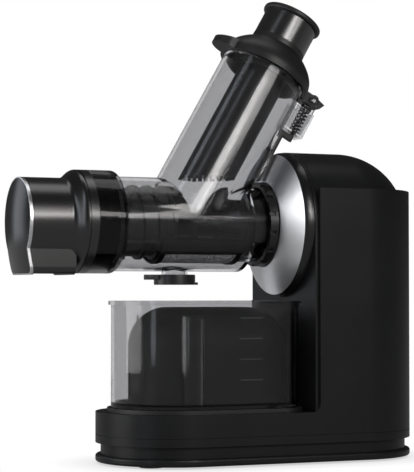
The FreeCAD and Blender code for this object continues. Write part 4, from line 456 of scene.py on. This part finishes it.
def smoke_clear(name, colour, thick_colour, axis, thick_end, gloss, smear, bend):
    """Clear tinted plastic with faint wiping marks. Its thick end, below a place on one axis, is darker.
    Gloss is its roughness, smear is what the marks add to that, and bend is its IOR. Lamps light what is
    behind it straight through its walls, and a piece seen through a whole wall mirrors them as freely."""
    fade, wall_faces = 0.001, 2
    material, tree, shader = blank_material(name)
    place = tree.nodes.new("ShaderNodeTexCoord")
    stretch = tree.nodes.new("ShaderNodeMapping")
    stretch.inputs["Scale"].default_value = (18.0, 18.0, 70.0)
    marks = tree.nodes.new("ShaderNodeTexNoise")
    marks.inputs["Scale"].default_value = 1.0
    marks.inputs["Detail"].default_value = 4.0
    shine = tree.nodes.new("ShaderNodeMapRange")
    shine.inputs["From Min"].default_value = 0.45
    shine.inputs["From Max"].default_value = 0.75
    shine.inputs["To Min"].default_value = gloss
    shine.inputs["To Max"].default_value = gloss + smear
    spot = tree.nodes.new("ShaderNodeSeparateXYZ")
    thin = tree.nodes.new("ShaderNodeMapRange")
    thin.inputs["From Min"].default_value = thick_end
    thin.inputs["From Max"].default_value = thick_end + fade
    tint = tint_node(tree, thick_colour, colour)
    link = tree.links.new
    link(place.outputs["Object"], stretch.inputs["Vector"])
    link(stretch.outputs["Vector"], marks.inputs["Vector"])
    link(marks.outputs["Fac"], shine.inputs["Value"])
    link(shine.outputs["Result"], shader.inputs["Roughness"])
    link(place.outputs["Object"], spot.inputs["Vector"])
    link(spot.outputs[axis], thin.inputs["Value"])
    link(thin.outputs["Result"], tint.inputs["Factor"])
    link(tint.outputs["Result"], shader.inputs["Base Color"])
    shader.inputs["Transmission Weight"].default_value = 1.0
    shader.inputs["IOR"].default_value = bend
    rays = tree.nodes.new("ShaderNodeLightPath")
    film = tree.nodes.new("ShaderNodeBsdfTransparent")
    film.inputs["Color"].default_value = (*[math.sqrt(c) for c in colour], 1)
    glint = math_node(tree, "SUBTRACT")
    glint.use_clamp = True
    inside = math_node(tree, "GREATER_THAN")
    inside.inputs[1].default_value = wall_faces - 0.5
    from_inside = math_node(tree, "MULTIPLY")
    lets_by = math_node(tree, "MAXIMUM")
    choose = tree.nodes.new("ShaderNodeMixShader")
    link(rays.outputs["Is Glossy Ray"], glint.inputs[0])
    link(rays.outputs["Is Transmission Ray"], glint.inputs[1])
    link(rays.outputs["Is Shadow Ray"], lets_by.inputs[0])
    link(rays.outputs["Transmission Depth"], inside.inputs[0])
    link(glint.outputs[0], from_inside.inputs[0])
    link(inside.outputs[0], from_inside.inputs[1])
    link(from_inside.outputs[0], lets_by.inputs[1])
    link(lets_by.outputs[0], choose.inputs["Fac"])
    link(shader.outputs["BSDF"], choose.inputs[1])
    link(film.outputs["BSDF"], choose.inputs[2])
    link(choose.outputs["Shader"], tree.nodes["Material Output"].inputs["Surface"])
    return material


collar_length = 0.023
collar_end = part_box("juicing_drum")[0].x + collar_length
drum_clear = smoke_clear("smoke_clear_drum", (0.58, 0.58, 0.59), (0.1, 0.1, 0.102), "X", collar_end,
                         gloss=0.035, smear=0.05, bend=1.2)
set_levels(drum_clear, {"Coat Weight": 0.25, "Coat Roughness": 0.1})
dress(drum_clear, "juicing_drum", edge=0.0004)


# Front cap: a polished black moulding that locks onto the drum's collar, with the pulp spout below.
# Its lens-shaped face is a bare gloss plate, edged by a thin bright strip.

cap_black = moulded_plastic("cap_black", (0.006, 0.006, 0.0062), 0.26, spread=0.06, grain=0.06,
                            mirror=0.85)
dress(cap_black, "front_cap", edge=0.0006)
face_gloss = moulded_plastic("face_gloss", (0.005, 0.005, 0.0055), 0.2, spread=0.03, grain=0.0)
dress(face_gloss, "cap_face", edge=0.0003)
bright_strip = drawn_metal("bright_strip", (0.8, 0.8, 0.82), 0.3, (300.0, 300.0, 300.0), scratch=0.01)
dress(bright_strip, "cap_trim")
dress(moulded_plastic("drip_black", (0.008, 0.008, 0.0085), 0.34), "drip_stop", edge=0.0005)


# Lid spring: cold-drawn steel wire wound with closed ends, held between the pocket's floor and the head
# of the safety rod, so that the rod rises with the lid.

def lid_spring():
    wire, closed_pitch = 0.0012, 1.06
    dead_turns, live_turns, steps = 1.0, 6.0, 32
    way = Vector(next(j["axis"] for j in frame["joints"] if j["name"] == "pusher_slide"))
    across = Vector((way.z, 0, -way.x))
    solid = [v.co for v in frame["nodes"]["lid_spring"].data.vertices]
    along = [p.dot(way) for p in solid]
    side = [p.dot(across) for p in solid]
    middle = (min(side) + max(side)) / 2
    radius = max(p.y for p in solid) - wire / 2
    bottom, top = min(along) + wire / 2, max(along) - wire / 2
    turns = live_turns + 2 * dead_turns
    rise_dead = closed_pitch * wire * dead_turns
    rise_live = top - bottom - 2 * rise_dead
    curve = bpy.data.curves.new("lid_spring_wire", "CURVE")
    curve.dimensions = "3D"
    curve.bevel_depth = wire / 2
    curve.bevel_resolution = 3
    curve.use_fill_caps = True
    line = curve.splines.new("POLY")
    count = int(turns * steps) + 1
    line.points.add(count - 1)
    for k in range(count):
        turn = k / steps
        live = min(max(turn - dead_turns, 0), live_turns)
        height = bottom + (turn - live) / dead_turns * rise_dead + live / live_turns * rise_live
        angle = 2 * math.pi * turn
        spot = across * (middle + radius * math.cos(angle)) + way * height
        line.points[k].co = (spot.x, radius * math.sin(angle), spot.z, 1)
    wound = bpy.data.objects.new("lid_spring_wire", curve)
    bpy.context.scene.collection.objects.link(wound)
    mesh = bpy.data.meshes.new_from_object(wound.evaluated_get(bpy.context.evaluated_depsgraph_get()))
    bpy.data.objects.remove(wound)
    mesh.shade_smooth()
    return bpy.data.objects.new("lid_spring_turns", mesh)


spring = lid_spring()
bpy.context.scene.collection.objects.link(spring)
spring.data.materials.append(drawn_metal("spring_wire", (0.5, 0.5, 0.52), 0.25, (500.0, 500.0, 500.0)))
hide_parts("lid_spring")
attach(spring, "juicing_unit")


# Feed lid and safety rod: a satin black bell over the chute's mouth, with a thumb tongue in front and a
# hinge arm behind that bears on the rod's sprung head.

lid_black = moulded_plastic("lid_black", (0.009, 0.009, 0.0094), 0.46, grain=0.18, mirror=0.4)
dress(lid_black, "feed_lid", edge=0.0006)
dress(lid_black, "safety_rod", edge=0.0002)


# Pusher: a hollow polished black tube, cut level at its toothed end, with a satin screwed-in knob plate.
# It slides down through the lid's neck to press food onto the auger.

pusher_black = moulded_plastic("pusher_black", (0.007, 0.007, 0.0072), 0.28, spread=0.04, grain=0.03,
                               mirror=0.9)
set_levels(pusher_black, {"Coat Weight": 0.6, "Coat Roughness": 0.22})
dress(pusher_black, "pusher_body", edge=0.0005)
dress(lid_black, "pusher_cap")


# Jug and pulp container: a clear smoke-tinted jug with a hollow grip rib each side, and a black
# container that is stowed upside down inside it, with a recessed panel on its round end.

floor_thickness = 0.0034
floor_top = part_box("jug")[0].z + floor_thickness
jug_clear = smoke_clear("smoke_clear_jug", (0.56, 0.56, 0.57), (0.01, 0.01, 0.0102), "Z", floor_top,
                        gloss=0.03, smear=0.06, bend=1.28)
pulp_black = moulded_plastic("pulp_black", (0.006, 0.006, 0.0064), 0.5, grain=0.05, mirror=0.2)
dress(jug_clear, "jug", edge=0.0005)
dress(pulp_black, "pulp_container", edge=0.0005)


# Level marks: short raised bars moulded on the jug's front wall, one above the other. They are plain,
# with no words or numbers.

def level_marks():
    count, first, step = 4, 0.0648, 0.0156
    width, height, proud = 0.019, 0.0006, 0.0003
    wall_y, from_tray_end = -0.05, 0.0495
    middle_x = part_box("jug_tray")[1].x - from_tray_end
    tree = bpy.data.node_groups.new("level_marks", "GeometryNodeTree")
    sizes = {}
    for label, kind, value in (("Count", "Int", count), ("Step", "Float", step), ("Width", "Float", width),
                               ("Height", "Float", height), ("Thickness", "Float", 2 * proud)):
        socket = tree.interface.new_socket(label, in_out="INPUT", socket_type="NodeSocket" + kind)
        sizes[label] = (socket.identifier, value)
    finish = tree.interface.new_socket("Material", in_out="INPUT", socket_type="NodeSocketMaterial")
    tree.interface.new_socket("Geometry", in_out="OUTPUT", socket_type="NodeSocketGeometry")
    start, end = tree.nodes.new("NodeGroupInput"), tree.nodes.new("NodeGroupOutput")
    offset = tree.nodes.new("ShaderNodeCombineXYZ")
    line = tree.nodes.new("GeometryNodeMeshLine")
    line.inputs["Start Location"].default_value = (middle_x, wall_y, first)
    size = tree.nodes.new("ShaderNodeCombineXYZ")
    bar = tree.nodes.new("GeometryNodeMeshCube")
    place = tree.nodes.new("GeometryNodeInstanceOnPoints")
    real = tree.nodes.new("GeometryNodeRealizeInstances")
    paint = tree.nodes.new("GeometryNodeSetMaterial")
    link = tree.links.new
    link(start.outputs["Count"], line.inputs["Count"])
    link(start.outputs["Step"], offset.inputs["Z"])
    link(offset.outputs["Vector"], line.inputs["Offset"])
    link(start.outputs["Width"], size.inputs["X"])
    link(start.outputs["Thickness"], size.inputs["Y"])
    link(start.outputs["Height"], size.inputs["Z"])
    link(size.outputs["Vector"], bar.inputs["Size"])
    link(line.outputs["Mesh"], place.inputs["Points"])
    link(bar.outputs["Mesh"], place.inputs["Instance"])
    link(place.outputs["Instances"], real.inputs["Geometry"])
    link(real.outputs["Geometry"], paint.inputs["Geometry"])
    link(start.outputs["Material"], paint.inputs["Material"])
    link(paint.outputs["Geometry"], end.inputs["Geometry"])
    holder = bpy.data.objects.new("level_marks_holder", bpy.data.meshes.new("level_marks_holder"))
    bpy.context.scene.collection.objects.link(holder)
    modifier = holder.modifiers.new("marks", "NODES")
    modifier.node_group = tree
    for identifier, value in sizes.values():
        modifier[identifier] = value
    modifier[finish.identifier] = moulded_plastic("mark_grey", (0.03, 0.03, 0.031), 0.4)
    mesh = bpy.data.meshes.new_from_object(holder.evaluated_get(bpy.context.evaluated_depsgraph_get()))
    bpy.data.objects.remove(holder)
    return bpy.data.objects.new("jug_level_marks", mesh)


marks = level_marks()
bpy.context.scene.collection.objects.link(marks)
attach(marks, "jug")


# Floor and backdrop: a white table that runs into white air. It is white to the eye and through clear
# walls, and dimmer in mirrors, and it keeps the faint contact shadow under the feet.

def white_floor():
    half = 12.0
    contact_reach, contact_shade = 0.04, 0.6
    white_seen, white_mirrored = 1.0, 0.3
    mesh = bpy.data.meshes.new("floor")
    corners = [(-half, -half, 0), (half, -half, 0), (half, half, 0), (-half, half, 0)]
    mesh.from_pydata(corners, [], [(0, 1, 2, 3)])
    floor = bpy.data.objects.new("floor", mesh)
    bpy.context.scene.collection.objects.link(floor)
    material, tree, shader = blank_material("white_table")
    shader.inputs["Base Color"].default_value = (0.8, 0.8, 0.8, 1)
    shader.inputs["Roughness"].default_value = 0.9
    rays = tree.nodes.new("ShaderNodeLightPath")
    seen = math_node(tree, "MAXIMUM")
    seen_or_mirrored = math_node(tree, "MAXIMUM")
    contact = tree.nodes.new("ShaderNodeAmbientOcclusion")
    contact.inputs["Distance"].default_value = contact_reach
    shadow = tree.nodes.new("ShaderNodeMapRange")
    shadow.inputs["To Min"].default_value = contact_shade
    shaded = math_node(tree, "MULTIPLY")
    level = tree.nodes.new("ShaderNodeMix")
    level.data_type = "FLOAT"
    level.inputs["A"].default_value = white_mirrored
    level.inputs["B"].default_value = white_seen
    white = tree.nodes.new("ShaderNodeEmission")
    choose = tree.nodes.new("ShaderNodeMixShader")
    link = tree.links.new
    link(rays.outputs["Is Camera Ray"], seen.inputs[0])
    link(rays.outputs["Is Transmission Ray"], seen.inputs[1])
    link(seen.outputs[0], seen_or_mirrored.inputs[0])
    link(rays.outputs["Is Glossy Ray"], seen_or_mirrored.inputs[1])
    link(seen.outputs[0], level.inputs["Factor"])
    link(level.outputs["Result"], shaded.inputs[0])
    link(contact.outputs["AO"], shadow.inputs["Value"])
    link(shadow.outputs["Result"], shaded.inputs[1])
    link(shaded.outputs[0], white.inputs["Strength"])
    link(seen_or_mirrored.outputs[0], choose.inputs["Fac"])
    link(shader.outputs["BSDF"], choose.inputs[1])
    link(white.outputs["Emission"], choose.inputs[2])
    link(choose.outputs["Shader"], tree.nodes["Material Output"].inputs["Surface"])
    mesh.materials.append(material)


white_floor()


def white_air():
    """The world: white to the eye and through clear walls, dark in mirrors, and a soft fill light."""
    white_seen, fill_light, dark_mirrored = 1.0, 0.3, 0.05
    world = bpy.data.worlds.new("studio")
    bpy.context.scene.world = world
    world.use_nodes = True
    tree = world.node_tree
    rays = tree.nodes.new("ShaderNodeLightPath")
    seen = math_node(tree, "MAXIMUM")
    fill = tree.nodes.new("ShaderNodeMix")
    fill.data_type = "FLOAT"
    fill.inputs["A"].default_value = fill_light
    fill.inputs["B"].default_value = dark_mirrored
    strength = tree.nodes.new("ShaderNodeMix")
    strength.data_type = "FLOAT"
    strength.inputs["B"].default_value = white_seen
    air = tree.nodes["Background"]
    air.inputs["Color"].default_value = (1, 1, 1, 1)
    link = tree.links.new
    link(rays.outputs["Is Camera Ray"], seen.inputs[0])
    link(rays.outputs["Is Transmission Ray"], seen.inputs[1])
    link(rays.outputs["Is Glossy Ray"], fill.inputs["Factor"])
    link(seen.outputs[0], strength.inputs["Factor"])
    link(fill.outputs["Result"], strength.inputs["A"])
    link(strength.outputs["Result"], air.inputs["Strength"])


white_air()


# Studio lamps: soft boxes round the set. Each one is placed by its direction from the object, and its
# brightness is what a mirror would see, so the black plastics take their highlights from its shape.

def soft_box(name, direction, distance, size, brightness, colour=(1, 1, 1)):
    aim = Vector((0, 0, 0.17))
    width, height = size
    lamp = bpy.data.lights.new(name, "AREA")
    lamp.shape = "RECTANGLE"
    lamp.size, lamp.size_y = width, height
    lamp.energy = math.pi * width * height * brightness
    lamp.color = colour
    box = bpy.data.objects.new(name, lamp)
    box.location = aim + Vector(direction).normalized() * distance
    box.rotation_mode = "QUATERNION"
    box.rotation_quaternion = (aim - box.location).to_track_quat("-Z", "Y")
    box.visible_camera = False
    bpy.context.scene.collection.objects.link(box)


warm, cool = (1.0, 0.975, 0.955), (0.86, 0.92, 1.0)
soft_box("front_high_box", (0.17, -0.95, 0.255), 1.7, size=(0.85, 0.3), brightness=8.5, colour=warm)
soft_box("pusher_box", (0.07, -0.94, 0.4), 1.7, size=(0.34, 0.6), brightness=11.0, colour=warm)
soft_box("left_box", (-0.98, 0.2, 0.15), 1.5, size=(0.9, 0.9), brightness=4.0)
soft_box("left_front_strip", (-0.82, -0.43, 0.38), 1.7, size=(0.28, 1.8), brightness=3.0, colour=cool)
soft_box("top_box", (0.1, 0.15, 1.0), 1.5, size=(1.2, 0.6), brightness=1.6)
soft_box("back_left_strip", (-0.5, 0.85, 0.22), 1.6, size=(0.4, 0.8), brightness=1.0, colour=cool)


# Camera: below the drum's height and round towards the pulp end, looking a little upwards, as the
# photograph was taken. Its long lens keeps the perspective slight.

def photo_camera():
    frame_long_side, focal_pixels = 472, 1745.24
    swing, lift = math.radians(23.41), math.radians(1.79)
    eye = (-0.5482, -1.2498, 0.1323)
    lens = bpy.data.cameras.new("photo_camera")
    lens.sensor_width = 36.0
    lens.lens = focal_pixels * lens.sensor_width / frame_long_side
    lens.clip_start, lens.clip_end = 0.05, 60.0
    camera = bpy.data.objects.new("photo_camera", lens)
    camera.location = eye
    level = math.cos(lift)
    ahead = Vector((math.sin(swing) * level, math.cos(swing) * level, math.sin(lift)))
    camera.rotation_mode = "QUATERNION"
    camera.rotation_quaternion = ahead.to_track_quat("-Z", "Y")
    bpy.context.scene.collection.objects.link(camera)
    bpy.context.scene.camera = camera


photo_camera()
bpy.context.scene.view_settings.view_transform = "Standard"
